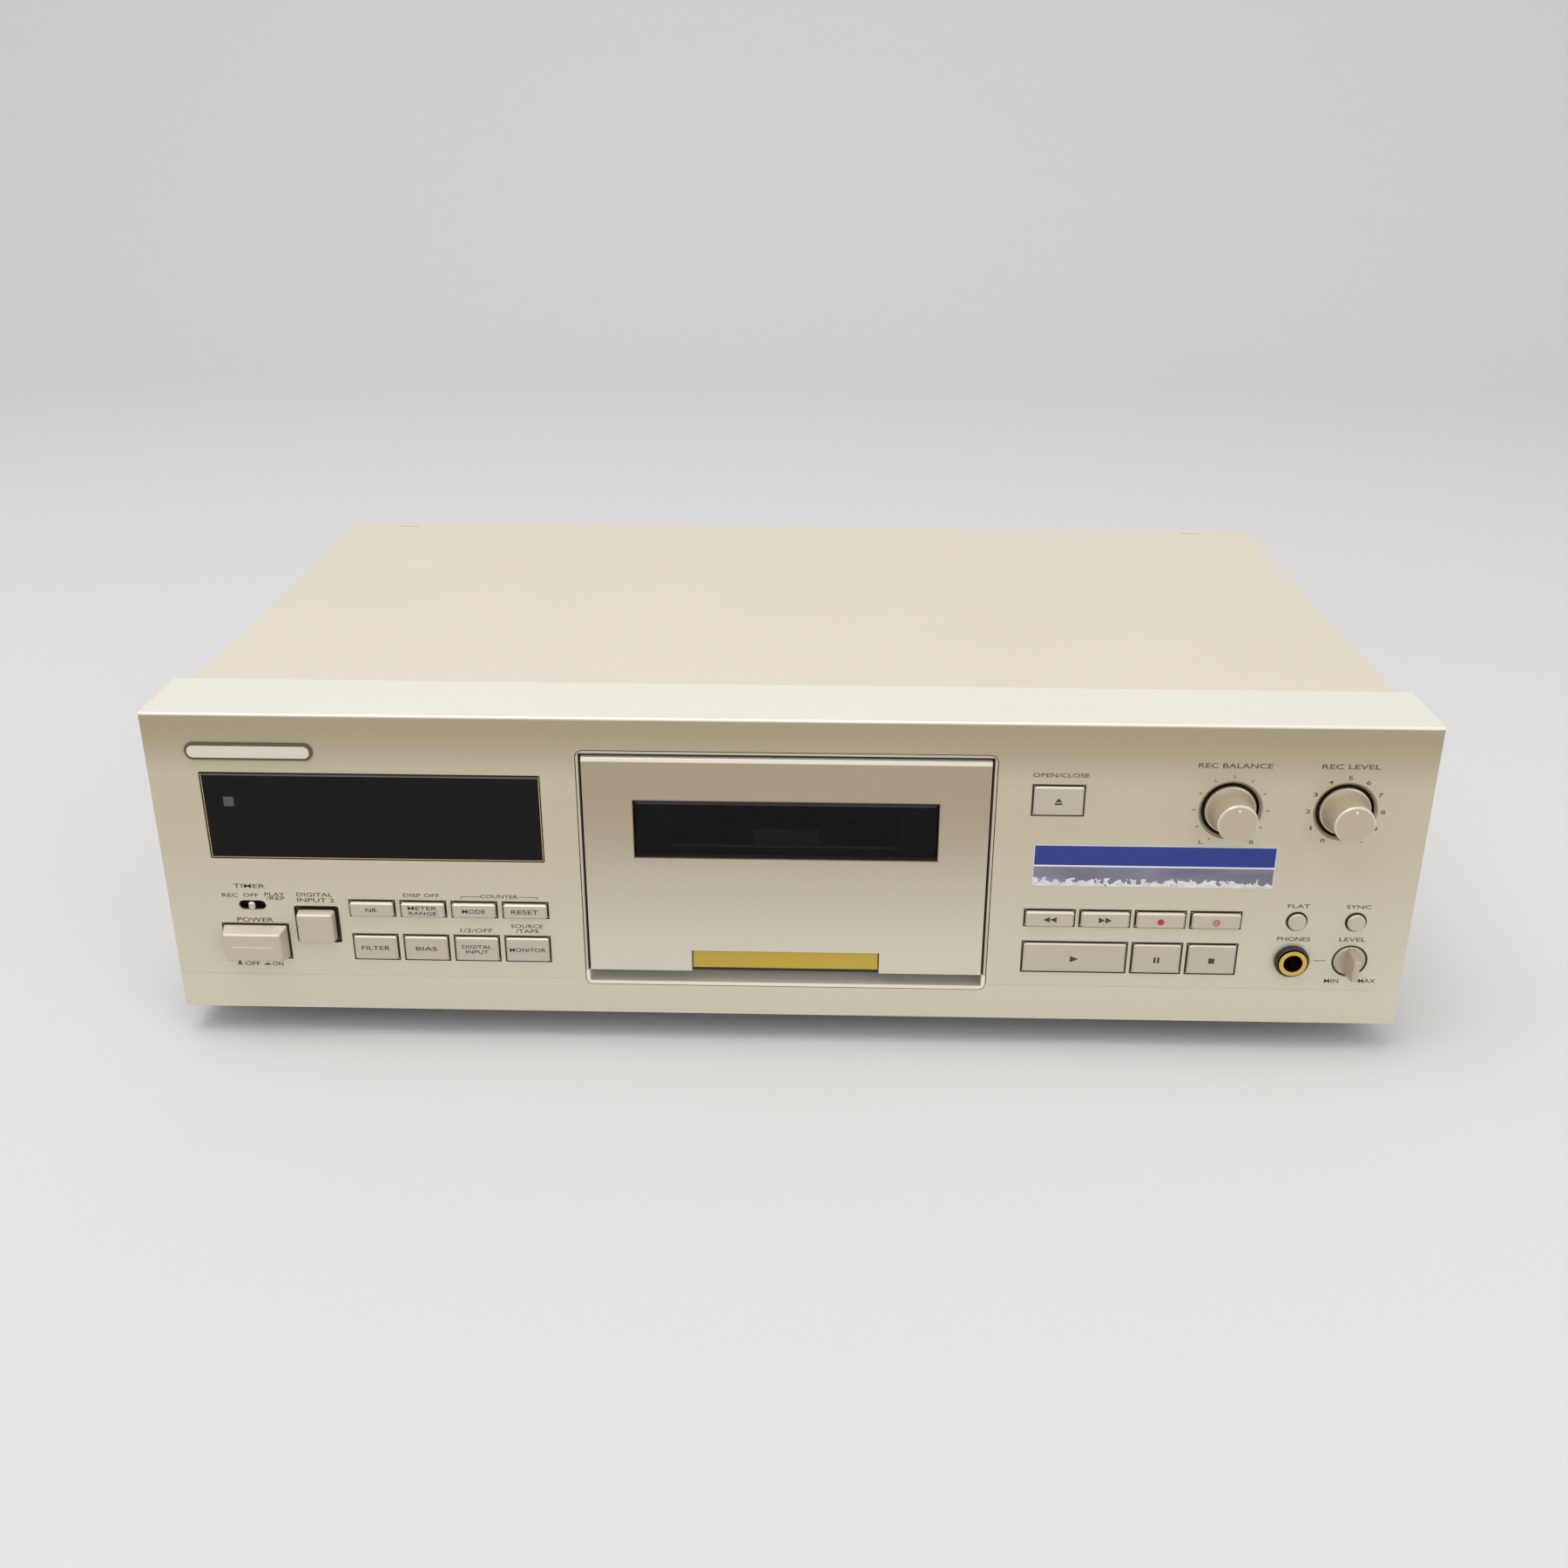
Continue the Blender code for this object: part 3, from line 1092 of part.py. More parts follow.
def cassette_holder():
    """Sheet channel that takes the cassette from above, with ledges, a sill bar and two pivots."""
    wall = HOLDER_WALL
    hook = HOLDER_SIDE + wall - HOLDER_HOOK
    outline = [(hook, POCKET_BACK), (HOLDER_SIDE, POCKET_BACK), (HOLDER_SIDE, POCKET_FRONT)]
    outline += [(-x, depth) for x, depth in reversed(outline)]
    low = TAPE_EDGE_Z - wall
    high = DOOR_TOP - HOLDER_TOP_DROP
    bm = bmesh.new()
    ends = [[bm.verts.new((x, face_y(depth), z)) for x, depth in outline] for z in (low, high)]
    for index in range(len(outline) - 1):
        bm.faces.new((ends[0][index], ends[0][index + 1], ends[1][index + 1], ends[1][index]))
    bmesh.ops.recalc_face_normals(bm, faces=bm.faces)
    if max(bm.faces, key=lambda face: face.calc_area()).normal.y > 0:
        bmesh.ops.reverse_faces(bm, faces=bm.faces)
    holder = finish_object("cassette_holder", bm, "black")
    sheet = holder.modifiers.new("sheet", "SOLIDIFY")
    sheet.thickness = wall
    sheet.offset = 1
    sheet.use_even_offset = True
    half = SIGHT_WIDTH / 2
    sight_low = HUB_Z - SIGHT_BELOW_HUBS
    tab_top = sight_low + SIGHT_TAB_HEIGHT
    front = face_y(HOLDER_FRONT - FIT_GAP / 2)
    back = face_y(POCKET_FRONT + wall)
    for part_name, x_low, x_high, z_low, z_high in (
            ("left", -half, -SIGHT_TAB_WIDTH / 2, sight_low, tab_top),
            ("right", SIGHT_TAB_WIDTH / 2, half, sight_low, tab_top),
            ("top", -half, half, tab_top - FIT_GAP / 2, sight_low + SIGHT_HEIGHT)):
        sight = bmesh.new()
        add_block(sight, (x_low, front, z_low), (x_high, back, z_high))
        boolean(holder, finish_object(f"sight_{part_name}", sight, None, cutter=True))
    boolean(holder, holder_lower_part(), "UNION")
    return holder


def holder_lower_part():
    """Sill bar behind the door's foot, the pivot arms and pins, and the cassette's two ledges."""
    wall = HOLDER_WALL
    outer = DOOR_SIDE
    arm_low = HINGE_Z - HOLDER_ARM_HEIGHT / 2
    bar = bmesh.new()
    add_block(
        bar, (-outer, face_y(HOLDER_FRONT), arm_low), (outer, face_y(POCKET_FRONT), TAPE_EDGE_Z + wall))
    sill = finish_object("holder_bar", bar, None, cutter=True)
    for side, way in (("left", -1), ("right", 1)):
        arm = bmesh.new()
        x_low, x_high = sorted((way * (outer - 4 * wall), way * outer))
        low = (x_low, face_y(HOLDER_FRONT + wall / 2), HINGE_Z - HINGE_PIN_RADIUS - wall / 2)
        high = (x_high, face_y(HINGE_DEPTH + HINGE_PIN_RADIUS), HINGE_Z + HINGE_PIN_RADIUS + wall / 2)
        add_block(arm, low, high)
        boolean(sill, finish_object(f"holder_arm_{side}", arm, None, cutter=True), "UNION")
        pin = bmesh.new()
        reach = WELL_WIDTH / 2 - FIT_GAP
        middle = way * (outer - wall + reach) / 2
        place = Matrix.Translation((middle, *HINGE_POINT[1:])) @ Matrix.Rotation(math.pi / 2, 4, "Y")
        bmesh.ops.create_cone(
            pin, cap_ends=True, segments=TURN_STEPS, radius1=HINGE_PIN_RADIUS, radius2=HINGE_PIN_RADIUS,
            depth=reach - outer + wall, matrix=place)
        boolean(sill, finish_object(f"holder_pin_{side}", pin, None, cutter=True), "UNION")
        ledge = bmesh.new()
        x_low, x_high = sorted((way * (HOLDER_SIDE + wall / 2), way * (HOLDER_SIDE - HOLDER_LEDGE)))
        low = (x_low, face_y(POCKET_FRONT - wall / 2), TAPE_EDGE_Z - wall)
        add_block(ledge, low, (x_high, face_y(POCKET_BACK + wall / 2), TAPE_EDGE_Z))
        boolean(sill, finish_object(f"holder_ledge_{side}", ledge, None, cutter=True), "UNION")
    return sill


# Tape mechanism
CAPSTAN_Z = TAPE_EDGE_Z + CAPSTAN_ABOVE_TAPE_EDGE
PLATE_HALF = WELL_WIDTH / 2 - PLATE_SIDE
MECH_MOTOR_Z = FACE_LIFT + MOTOR_Z
PINCH_ENGAGED = math.radians(PINCH_ENGAGED_DEGREES)
PINCH_REST = PINCH_ENGAGED - math.radians(PINCH_SWING_DEGREES)
PINCH_PIVOT_X = CAPSTAN_X + PINCH_ARM_LENGTH * math.cos(PINCH_ENGAGED)
PINCH_CONTACT_Z = CAPSTAN_Z - CAPSTAN_RADIUS - PINCH_RADIUS - FIT_GAP
PINCH_PIVOT_Z = PINCH_CONTACT_Z - PINCH_ARM_LENGTH * math.sin(PINCH_ENGAGED)
PINCH_ROLLER_X = PINCH_PIVOT_X - PINCH_ARM_LENGTH * math.cos(PINCH_REST)
PINCH_ROLLER_Z = PINCH_PIVOT_Z + PINCH_ARM_LENGTH * math.sin(PINCH_REST)
CARRIAGE_BACK = PLATE_FRONT - FIT_GAP
CARRIAGE_FRONT = CARRIAGE_BACK - CARRIAGE_SHEET
PINCH_ARM_BACK = CARRIAGE_FRONT - FIT_GAP
PINCH_ARM_FRONT = PINCH_ARM_BACK - PINCH_ARM_SHEET
PINCH_ROLLER_BACK = PINCH_ARM_FRONT - FIT_GAP
HUBS = {"left": -HUB_SPACING / 2, "right": HUB_SPACING / 2}
FLYWHEEL_FRONT = PLATE_BACK + FLYWHEEL_BACK
BELT_DEPTH = FLYWHEEL_FRONT + FLYWHEEL_SHEET / 2


def mech_plate():
    """Steel plate behind the well, on two feet, pierced for the spindles and the capstan."""
    bm = bmesh.new()
    low = (-PLATE_HALF, face_y(PLATE_FRONT), PAN_FLOOR + FIT_GAP)
    high = (PLATE_HALF, face_y(PLATE_BACK), WELL_TOP - PLATE_SIDE)
    add_block(bm, low, high, PLATE_SIDE)
    plate = finish_object("mech_plate", bm, "steel")
    front = face_y(PLATE_FRONT - CUT_OVERRUN)
    back = face_y(PLATE_BACK + CUT_OVERRUN)
    holes = bmesh.new()
    inner = PLATE_HALF - PLATE_FOOT_WIDTH
    add_block(holes, (-inner, front, 0), (inner, back, WELL_BOTTOM))
    for x in HUBS.values():
        add_rod(holes, x, HUB_Z, SPINDLE_RADIUS + FIT_GAP, front, back)
    add_rod(holes, CAPSTAN_X, CAPSTAN_Z, CAPSTAN_RADIUS + FIT_GAP, front, back)
    boolean(plate, finish_object("plate_holes", holes, None, cutter=True))
    posts = bmesh.new()
    middle = face_y((PLATE_FRONT + PLATE_BACK) / 2)
    pivot = PINCH_PIVOT_RADIUS
    add_rod(posts, PINCH_PIVOT_X, PINCH_PIVOT_Z, pivot, face_y(PINCH_ARM_FRONT - FIT_GAP), middle)
    for x in HUBS.values():
        add_rod(posts, 2 * x, TAPE_EDGE_Z + CAPSTAN_ABOVE_TAPE_EDGE, pivot, face_y(POCKET_BACK), middle)
    boolean(plate, finish_object("plate_posts", posts, None, cutter=True), "UNION")
    return plate


def toothed_ring(bm, x, z, radius, tooth, teeth, y_front, y_back):
    """Spur gear: the outline steps between root and tip circles, four points to a tooth."""
    root = radius - tooth
    ring = []
    for index in range(4 * teeth):
        turn = 2 * math.pi * (index + 0.5) / (4 * teeth)
        reach = radius if index % 4 in (1, 2) else root
        ring.append(bm.verts.new((x + reach * math.cos(turn), y_front, z + reach * math.sin(turn))))
    made = bmesh.ops.extrude_face_region(bm, geom=[bm.faces.new(ring)])["geom"]
    for item in made:
        if isinstance(item, bmesh.types.BMVert):
            item.co.y = y_back
    bmesh.ops.recalc_face_normals(bm, faces=bm.faces)


def reel_spindle(side, x):
    """Reel table: splined spindle, disc in front of the plate and gear behind it."""
    disc_back = PLATE_FRONT - FIT_GAP
    disc_front = disc_back - REEL_DISC_SHEET
    tip = disc_front - SPINDLE_REACH
    gear_front = PLATE_BACK + FIT_GAP
    gear_back = gear_front + REEL_GEAR_SHEET
    profile = [
        (0, tip), (SPINDLE_TIP_RADIUS, tip), (SPINDLE_RADIUS, tip + SPINDLE_TIP),
        (SPINDLE_RADIUS, disc_front), (REEL_DISC_RADIUS, disc_front), (REEL_DISC_RADIUS, disc_back),
        (SPINDLE_RADIUS, disc_back), (SPINDLE_RADIUS, gear_back), (0, gear_back)]
    spindle = turned(f"reel_spindle_{side}", profile, x, HUB_Z, "black")
    gear = bmesh.new()
    toothed_ring(
        gear, x, HUB_Z, REEL_GEAR_RADIUS, REEL_GEAR_TOOTH, REEL_GEAR_TEETH, face_y(gear_front),
        face_y(gear_back - FIT_GAP))
    boolean(spindle, finish_object(f"reel_gear_{side}", gear, None, cutter=True), "UNION")
    fins = bmesh.new()
    for index in range(SPINDLE_FINS):
        turn = math.pi / 2 + 2 * math.pi * index / SPINDLE_FINS
        low = (SPINDLE_TIP_RADIUS, face_y(tip + SPINDLE_TIP), -SPINDLE_FIN / 2)
        high = (SPINDLE_RADIUS + SPINDLE_FIN, face_y(disc_front + REEL_DISC_SHEET / 2), SPINDLE_FIN / 2)
        before = set(fins.verts)
        add_block(fins, low, high)
        place = Matrix.Translation((x, 0, HUB_Z)) @ Matrix.Rotation(turn, 4, "Y")
        bmesh.ops.transform(fins, matrix=place, verts=[v for v in fins.verts if v not in before])
    boolean(spindle, finish_object(f"spindle_fins_{side}", fins, None, cutter=True), "UNION")
    return spindle


def capstan_flywheel():
    """Ground shaft pressed into a heavy grooved flywheel, with a pivot at its back."""
    back = FLYWHEEL_FRONT + FLYWHEEL_SHEET
    groove = BELT_WIDTH / 2 + FIT_GAP
    inner = FLYWHEEL_RADIUS - BELT_GROOVE
    shaft = CAPSTAN_RADIUS
    boss = CAPSTAN_BUSH_RADIUS
    front = CAPSTAN_REACH - shaft
    boss_front = PLATE_BACK + FIT_GAP
    end = BRACKET_FRONT + BRACKET_SHEET
    radius = FLYWHEEL_RADIUS
    profile = [
        (0, front - shaft / 2), (shaft / 2, front - shaft / 2), (shaft, front), (shaft, boss_front),
        (boss, boss_front), (boss, FLYWHEEL_FRONT), (radius, FLYWHEEL_FRONT), (radius, BELT_DEPTH - groove),
        (inner, BELT_DEPTH - groove), (inner, BELT_DEPTH + groove), (radius, BELT_DEPTH + groove),
        (radius, back), (shaft, back), (shaft, end), (0, end)]
    return turned("capstan_flywheel", profile, CAPSTAN_X, CAPSTAN_Z, "steel", FINE_TURN_STEPS)


def motor_pulley():
    groove = BELT_WIDTH / 2 + FIT_GAP
    inner = MOTOR_PULLEY_RADIUS - BELT_GROOVE
    shaft = MOTOR_SHAFT_RADIUS
    front = FLYWHEEL_FRONT
    back = front + FLYWHEEL_SHEET
    end = BRACKET_FRONT + BRACKET_SHEET
    radius = MOTOR_PULLEY_RADIUS
    profile = [
        (0, front), (radius, front), (radius, BELT_DEPTH - groove), (inner, BELT_DEPTH - groove),
        (inner, BELT_DEPTH + groove), (radius, BELT_DEPTH + groove), (radius, back), (shaft, back),
        (shaft, end), (0, end)]
    return turned("motor_pulley", profile, MOTOR_X, MECH_MOTOR_Z, "brass")


def drive_belt():
    """Flat belt round the flywheel and the motor pulley, laid along their outer tangents."""
    big = FLYWHEEL_RADIUS - BELT_GROOVE + FIT_GAP
    small = MOTOR_PULLEY_RADIUS - BELT_GROOVE + FIT_GAP
    across = Vector((MOTOR_X - CAPSTAN_X, MECH_MOTOR_Z - CAPSTAN_Z))
    heading = math.atan2(across.y, across.x)
    spread = math.acos((big - small) / across.length)
    loop = []
    arcs = (
        (CAPSTAN_X, CAPSTAN_Z, big, heading + spread, heading + 2 * math.pi - spread, FINE_TURN_STEPS),
        (MOTOR_X, MECH_MOTOR_Z, small, heading - spread, heading + spread, TURN_STEPS // 2))
    for x, z, radius, start, end, steps in arcs:
        for step in range(steps + 1):
            turn = start + (end - start) * step / steps
            loop.append((x + radius * math.cos(turn), z + radius * math.sin(turn)))
    bm = bmesh.new()
    rows = [
        [bm.verts.new((x, face_y(depth), z)) for x, z in loop]
        for depth in (BELT_DEPTH - BELT_WIDTH / 2, BELT_DEPTH + BELT_WIDTH / 2)]
    for index in range(len(loop)):
        after = (index + 1) % len(loop)
        bm.faces.new((rows[0][index], rows[0][after], rows[1][after], rows[1][index]))
    bmesh.ops.recalc_face_normals(bm, faces=bm.faces)
    first = bm.faces[0]
    outward = first.calc_center_median() - Vector((CAPSTAN_X, first.calc_center_median().y, CAPSTAN_Z))
    if first.normal.dot(outward) < 0:
        bmesh.ops.reverse_faces(bm, faces=bm.faces)
    belt = finish_object("drive_belt", bm, "rubber")
    sheet = belt.modifiers.new("thickness", "SOLIDIFY")
    sheet.thickness = BELT_SHEET
    sheet.offset = 1
    sheet.use_even_offset = True
    return belt


def flywheel_bracket():
    """Plate behind the flywheel that holds its pivot and the motor, on four posts."""
    right = CAPSTAN_X + FLYWHEEL_RADIUS + BRACKET_MARGIN
    left = MOTOR_X - MOTOR_RADIUS - BRACKET_MARGIN
    low = CAPSTAN_Z - FLYWHEEL_RADIUS - BRACKET_MARGIN
    high = CAPSTAN_Z + FLYWHEEL_RADIUS + BRACKET_MARGIN
    bm = bmesh.new()
    add_block(
        bm, (left, face_y(BRACKET_FRONT), low), (right, face_y(BRACKET_FRONT + BRACKET_SHEET), high),
        BRACKET_MARGIN / 2)
    bracket = finish_object("flywheel_bracket", bm, "steel")
    posts = bmesh.new()
    inset = BRACKET_POST_INSET
    front = face_y(PLATE_BACK + FIT_GAP)
    for x in (left + inset, right - inset):
        for z in (low + inset, high - inset):
            add_rod(posts, x, z, BRACKET_POST_RADIUS, front, face_y(BRACKET_FRONT + BRACKET_SHEET / 2))
    boolean(bracket, finish_object("bracket_posts", posts, None, cutter=True), "UNION")
    holes = bmesh.new()
    front = face_y(BRACKET_FRONT - CUT_OVERRUN)
    back = face_y(BRACKET_FRONT + BRACKET_SHEET + CUT_OVERRUN)
    add_rod(holes, CAPSTAN_X, CAPSTAN_Z, CAPSTAN_RADIUS + FIT_GAP, front, back)
    add_rod(holes, MOTOR_X, MECH_MOTOR_Z, MOTOR_SHAFT_RADIUS + FIT_GAP, front, back)
    boolean(bracket, finish_object("bracket_holes", holes, None, cutter=True))
    return bracket


def capstan_motor():
    """Round motor can with rolled edges."""
    front = BRACKET_FRONT + BRACKET_SHEET + FIT_GAP
    back = front + MOTOR_LENGTH
    edge = BRACKET_SHEET
    radius = MOTOR_RADIUS
    profile = [
        (0, front), (radius - edge, front), (radius, front + edge), (radius, back - edge),
        (radius - edge, back), (0, back)]
    return turned("capstan_motor", profile, MOTOR_X, MECH_MOTOR_Z, "steel")


def head_carriage():
    """Sliding head plate with the record and play head block and the erase head."""
    top = TAPE_EDGE_Z - HEAD_BELOW_TAPE_EDGE
    plate_top = top - CARRIAGE_DROP
    bm = bmesh.new()
    half = CARRIAGE_WIDTH / 2
    low = (-half, face_y(CARRIAGE_FRONT), plate_top - CARRIAGE_HEIGHT)
    add_block(bm, low, (half, face_y(CARRIAGE_BACK), plate_top), CARRIAGE_DROP)
    carriage = finish_object("head_carriage", bm, "steel", (0, face_y(CARRIAGE_FRONT), plate_top))
    heads = bmesh.new()
    front = face_y(CARRIAGE_FRONT - HEAD_DEPTH)
    back = face_y(CARRIAGE_FRONT + CARRIAGE_SHEET / 2)
    blocks = ((0, HEAD_WIDTH, HEAD_CROWN), (ERASE_HEAD_X, ERASE_HEAD_WIDTH, HEAD_CROWN / 2))
    for x, width, crown in blocks:
        low = (x - width / 2, front, top - HEAD_HEIGHT)
        add_block(heads, low, (x + width / 2, back, top), crown)
    boolean(carriage, finish_object("heads", heads, None, cutter=True), "UNION")
    return carriage


def pinch_arm():
    """Flat arm on a pivot of the plate, with the roller's axle fixed at its end."""
    pivot = Vector((PINCH_PIVOT_X, 0, PINCH_PIVOT_Z))
    bm = bmesh.new()
    half = PINCH_ARM_WIDTH / 2
    low = (-PINCH_ARM_LENGTH - half, face_y(PINCH_ARM_FRONT), -half)
    add_block(bm, low, (half, face_y(PINCH_ARM_BACK), half), half - FIT_GAP / 2, segments=ROUND_SEGMENTS)
    turn = Matrix.Rotation(PINCH_REST, 4, "Y")
    bmesh.ops.transform(bm, matrix=Matrix.Translation(pivot) @ turn, verts=bm.verts)
    arm = finish_object("pinch_arm", bm, "steel", (PINCH_PIVOT_X, face_y(PINCH_ARM_FRONT), PINCH_PIVOT_Z))
    axle = bmesh.new()
    add_rod(
        axle, PINCH_ROLLER_X, PINCH_ROLLER_Z, PINCH_BORE, face_y(PINCH_ROLLER_BACK - PINCH_LENGTH),
        face_y((PINCH_ARM_FRONT + PINCH_ARM_BACK) / 2))
    boolean(arm, finish_object("pinch_axle", axle, None, cutter=True), "UNION")
    hole = bmesh.new()
    front = face_y(PINCH_ARM_FRONT - FIT_GAP)
    back = face_y(PINCH_ARM_BACK + FIT_GAP / 2)
    add_rod(hole, PINCH_PIVOT_X, PINCH_PIVOT_Z, PINCH_PIVOT_RADIUS + FIT_GAP, front, back)
    boolean(arm, finish_object("pinch_pivot_hole", hole, None, cutter=True))
    return arm


def pinch_roller():
    """Rubber roller on the axle of the pinch arm."""
    bore = PINCH_BORE + FIT_GAP
    front = PINCH_ROLLER_BACK - PINCH_LENGTH
    edge = PINCH_BORE / 4
    profile = [
        (bore, front), (PINCH_RADIUS - edge, front), (PINCH_RADIUS, front + edge),
        (PINCH_RADIUS, PINCH_ROLLER_BACK), (bore, PINCH_ROLLER_BACK)]
    return turned("pinch_roller", profile, PINCH_ROLLER_X, PINCH_ROLLER_Z, "rubber")


# Boards, supply and rear sockets
def main_board():
    """Signal board on four stand-offs, with its tall parts joined to it."""
    low_z = PAN_FLOOR + MAIN_BOARD_LIFT
    left = MAIN_BOARD_X - MAIN_BOARD_LENGTH / 2
    right = MAIN_BOARD_X + MAIN_BOARD_LENGTH / 2
    front = face_y(MAIN_BOARD_FRONT)
    back = front + MAIN_BOARD_DEPTH
    bm = bmesh.new()
    add_block(bm, (left, front, low_z), (right, back, low_z + BOARD_SHEET))
    board = finish_object("main_board", bm, "board")
    posts = bmesh.new()
    inset = 2 * STANDOFF_RADIUS
    middle = low_z + BOARD_SHEET / 2
    for x in (left + inset, right - inset):
        for y in (front + inset, back - inset):
            add_post(posts, x, y, STANDOFF_RADIUS, PAN_FLOOR + FIT_GAP, middle, BORE_STEPS)
    boolean(board, finish_object("standoffs", posts, None, cutter=True), "UNION")
    return board


def power_transformer():
    """Laminated core with its winding showing at the front and back."""
    y = face_y(BODY_DEPTH / 2)
    base = PAN_FLOOR + FIT_GAP
    half = TRANSFORMER_WIDTH / 2
    bm = bmesh.new()
    low = (TRANSFORMER_X - half, y - TRANSFORMER_DEPTH / 2, base)
    high = (TRANSFORMER_X + half, y + TRANSFORMER_DEPTH / 2, base + TRANSFORMER_HEIGHT)
    add_block(bm, low, high)
    core = finish_object("power_transformer", bm, "iron")
    coil = bmesh.new()
    inset = TRANSFORMER_COIL
    low = (low[0] + inset, low[1] - inset, base + inset)
    high = (high[0] - inset, high[1] + inset, base + TRANSFORMER_HEIGHT - inset)
    add_block(coil, low, high, inset / 2, axis="z")
    boolean(core, finish_object("transformer_coil", coil, None, cutter=True), "UNION")
    return core


def line_jacks():
    """Moulded block with four bored barrels that stand out through the rear panel."""
    back = REAR_FRONT_DEPTH - FIT_GAP
    x = JACK_BLOCK_X
    z = FACE_LIFT + JACK_BLOCK_Z
    half_width = JACK_BLOCK_WIDTH / 2
    half_height = JACK_BLOCK_HEIGHT / 2
    bm = bmesh.new()
    low = (x - half_width, face_y(back - JACK_BLOCK_DEPTH), z - half_height)
    add_block(bm, low, (x + half_width, face_y(back), z + half_height))
    block = finish_object("line_jacks", bm, "black")
    barrels = bmesh.new()
    bores = bmesh.new()
    root = face_y(back - JACK_BLOCK_DEPTH / 2)
    end = face_y(BODY_DEPTH + LINE_JACK_PROUD)
    for jack_x, jack_z in LINE_JACKS:
        add_rod(barrels, jack_x, jack_z, LINE_JACK_RADIUS, root, end)
        add_rod(bores, jack_x, jack_z, LINE_JACK_BORE, root, end + CUT_OVERRUN, BORE_STEPS)
    boolean(block, finish_object("jack_barrels", barrels, None, cutter=True), "UNION")
    boolean(block, finish_object("jack_bores", bores, None, cutter=True))
    return block


def ac_inlet():
    """Two-pin supply inlet: flanged body with an open cavity round its pins."""
    z = FACE_LIFT + INLET_Z
    half_width = INLET_WIDTH / 2
    half_height = INLET_HEIGHT / 2
    outside = REAR_BACK_DEPTH + FIT_GAP
    mouth = outside + INLET_FLANGE_PROUD
    bm = bmesh.new()
    low = (INLET_X - half_width, face_y(mouth - INLET_DEPTH), z - half_height)
    add_block(bm, low, (INLET_X + half_width, face_y(outside + INLET_FLANGE_PROUD / 2), z + half_height))
    inlet = finish_object("ac_inlet", bm, "black")
    rim = INLET_FLANGE
    flange = bmesh.new()
    low = (INLET_X - half_width - rim, face_y(outside), z - half_height - rim)
    high = (INLET_X + half_width + rim, face_y(mouth), z + half_height + rim)
    add_block(flange, low, high, rim)
    boolean(inlet, finish_object("inlet_flange", flange, None, cutter=True), "UNION")
    cavity = bmesh.new()
    cavity_low = face_y(mouth - INLET_CAVITY_DEPTH)
    low = (INLET_X - INLET_CAVITY_WIDTH / 2, cavity_low, z - INLET_CAVITY_HEIGHT / 2)
    high = (INLET_X + INLET_CAVITY_WIDTH / 2, face_y(mouth + CUT_OVERRUN), z + INLET_CAVITY_HEIGHT / 2)
    add_block(cavity, low, high, INLET_CAVITY_CORNER)
    boolean(inlet, finish_object("inlet_cavity", cavity, None, cutter=True))
    pins = bmesh.new()
    for way in (-1, 1):
        x = INLET_X + way * INLET_PIN_SPACING / 2
        end = face_y(mouth - INLET_FLANGE)
        add_rod(pins, x, z, INLET_PIN_RADIUS, cavity_low - INLET_FLANGE, end, BORE_STEPS)
    boolean(inlet, finish_object("inlet_pins", pins, None, cutter=True), "UNION")
    return inlet


def hang_on_pivot(name, point, children):
    """Empty on a joint's axis that carries the pieces turning about it."""
    pivot = bpy.data.objects.new(name, None)
    pivot.location = point
    PARTS.objects.link(pivot)
    for child in children:
        child.location = child.location - Vector(point)
        child.parent = pivot
    return pivot


def build_deck():
    well_hole = well_opening()
    panel = front_panel(fascia_openings(), well_hole)
    knobs = (("balance_knob", BALANCE_SHARE), ("record_level_knob", RECORD_LEVEL_SHARE))
    for name, share in knobs:
        x = right_bay(share)
        boolean(panel, knob_hole(f"{name}_hole", x, KNOB_Z, KNOB_HOLE_RADIUS, KNOB_RING_WIDTH))
        flared_knob(name, x)
    lower_trim(well_hole)
    top_cover()
    chassis_pan()
    rear_panel()
    feet()
    display_window()
    display_tube()
    front_board()
    power_button()
    timer_switch()
    digital_input_cap()
    optical_socket()
    for name, (x, z, width, height, proud) in key_holes().items():
        push_key(name, x, z, width, height, proud)
    for name, x in ROUND_KEYS.items():
        round_key(name, x)
    phones_level_knob()
    phones_jack()
    phones_jack_nut()
    cassette_well()
    door = [door_panel(), door_window(), door_strip(), cassette_holder()]
    hang_on_pivot("door_hinge", HINGE_POINT, door)
    mech_plate()
    for side, x in HUBS.items():
        reel_spindle(side, x)
    capstan_flywheel()
    motor_pulley()
    drive_belt()
    flywheel_bracket()
    capstan_motor()
    head_carriage()
    arm = pinch_arm()
    roller = pinch_roller()
    roller.location = roller.location - arm.location
    roller.parent = arm
    main_board()
    power_transformer()
    line_jacks()
    ac_inlet()


build_deck()
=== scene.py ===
"""Looks of a front-loading cassette deck: finishes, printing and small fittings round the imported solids."""

import math

import bmesh
import bpy
from mathutils import Matrix, Vector


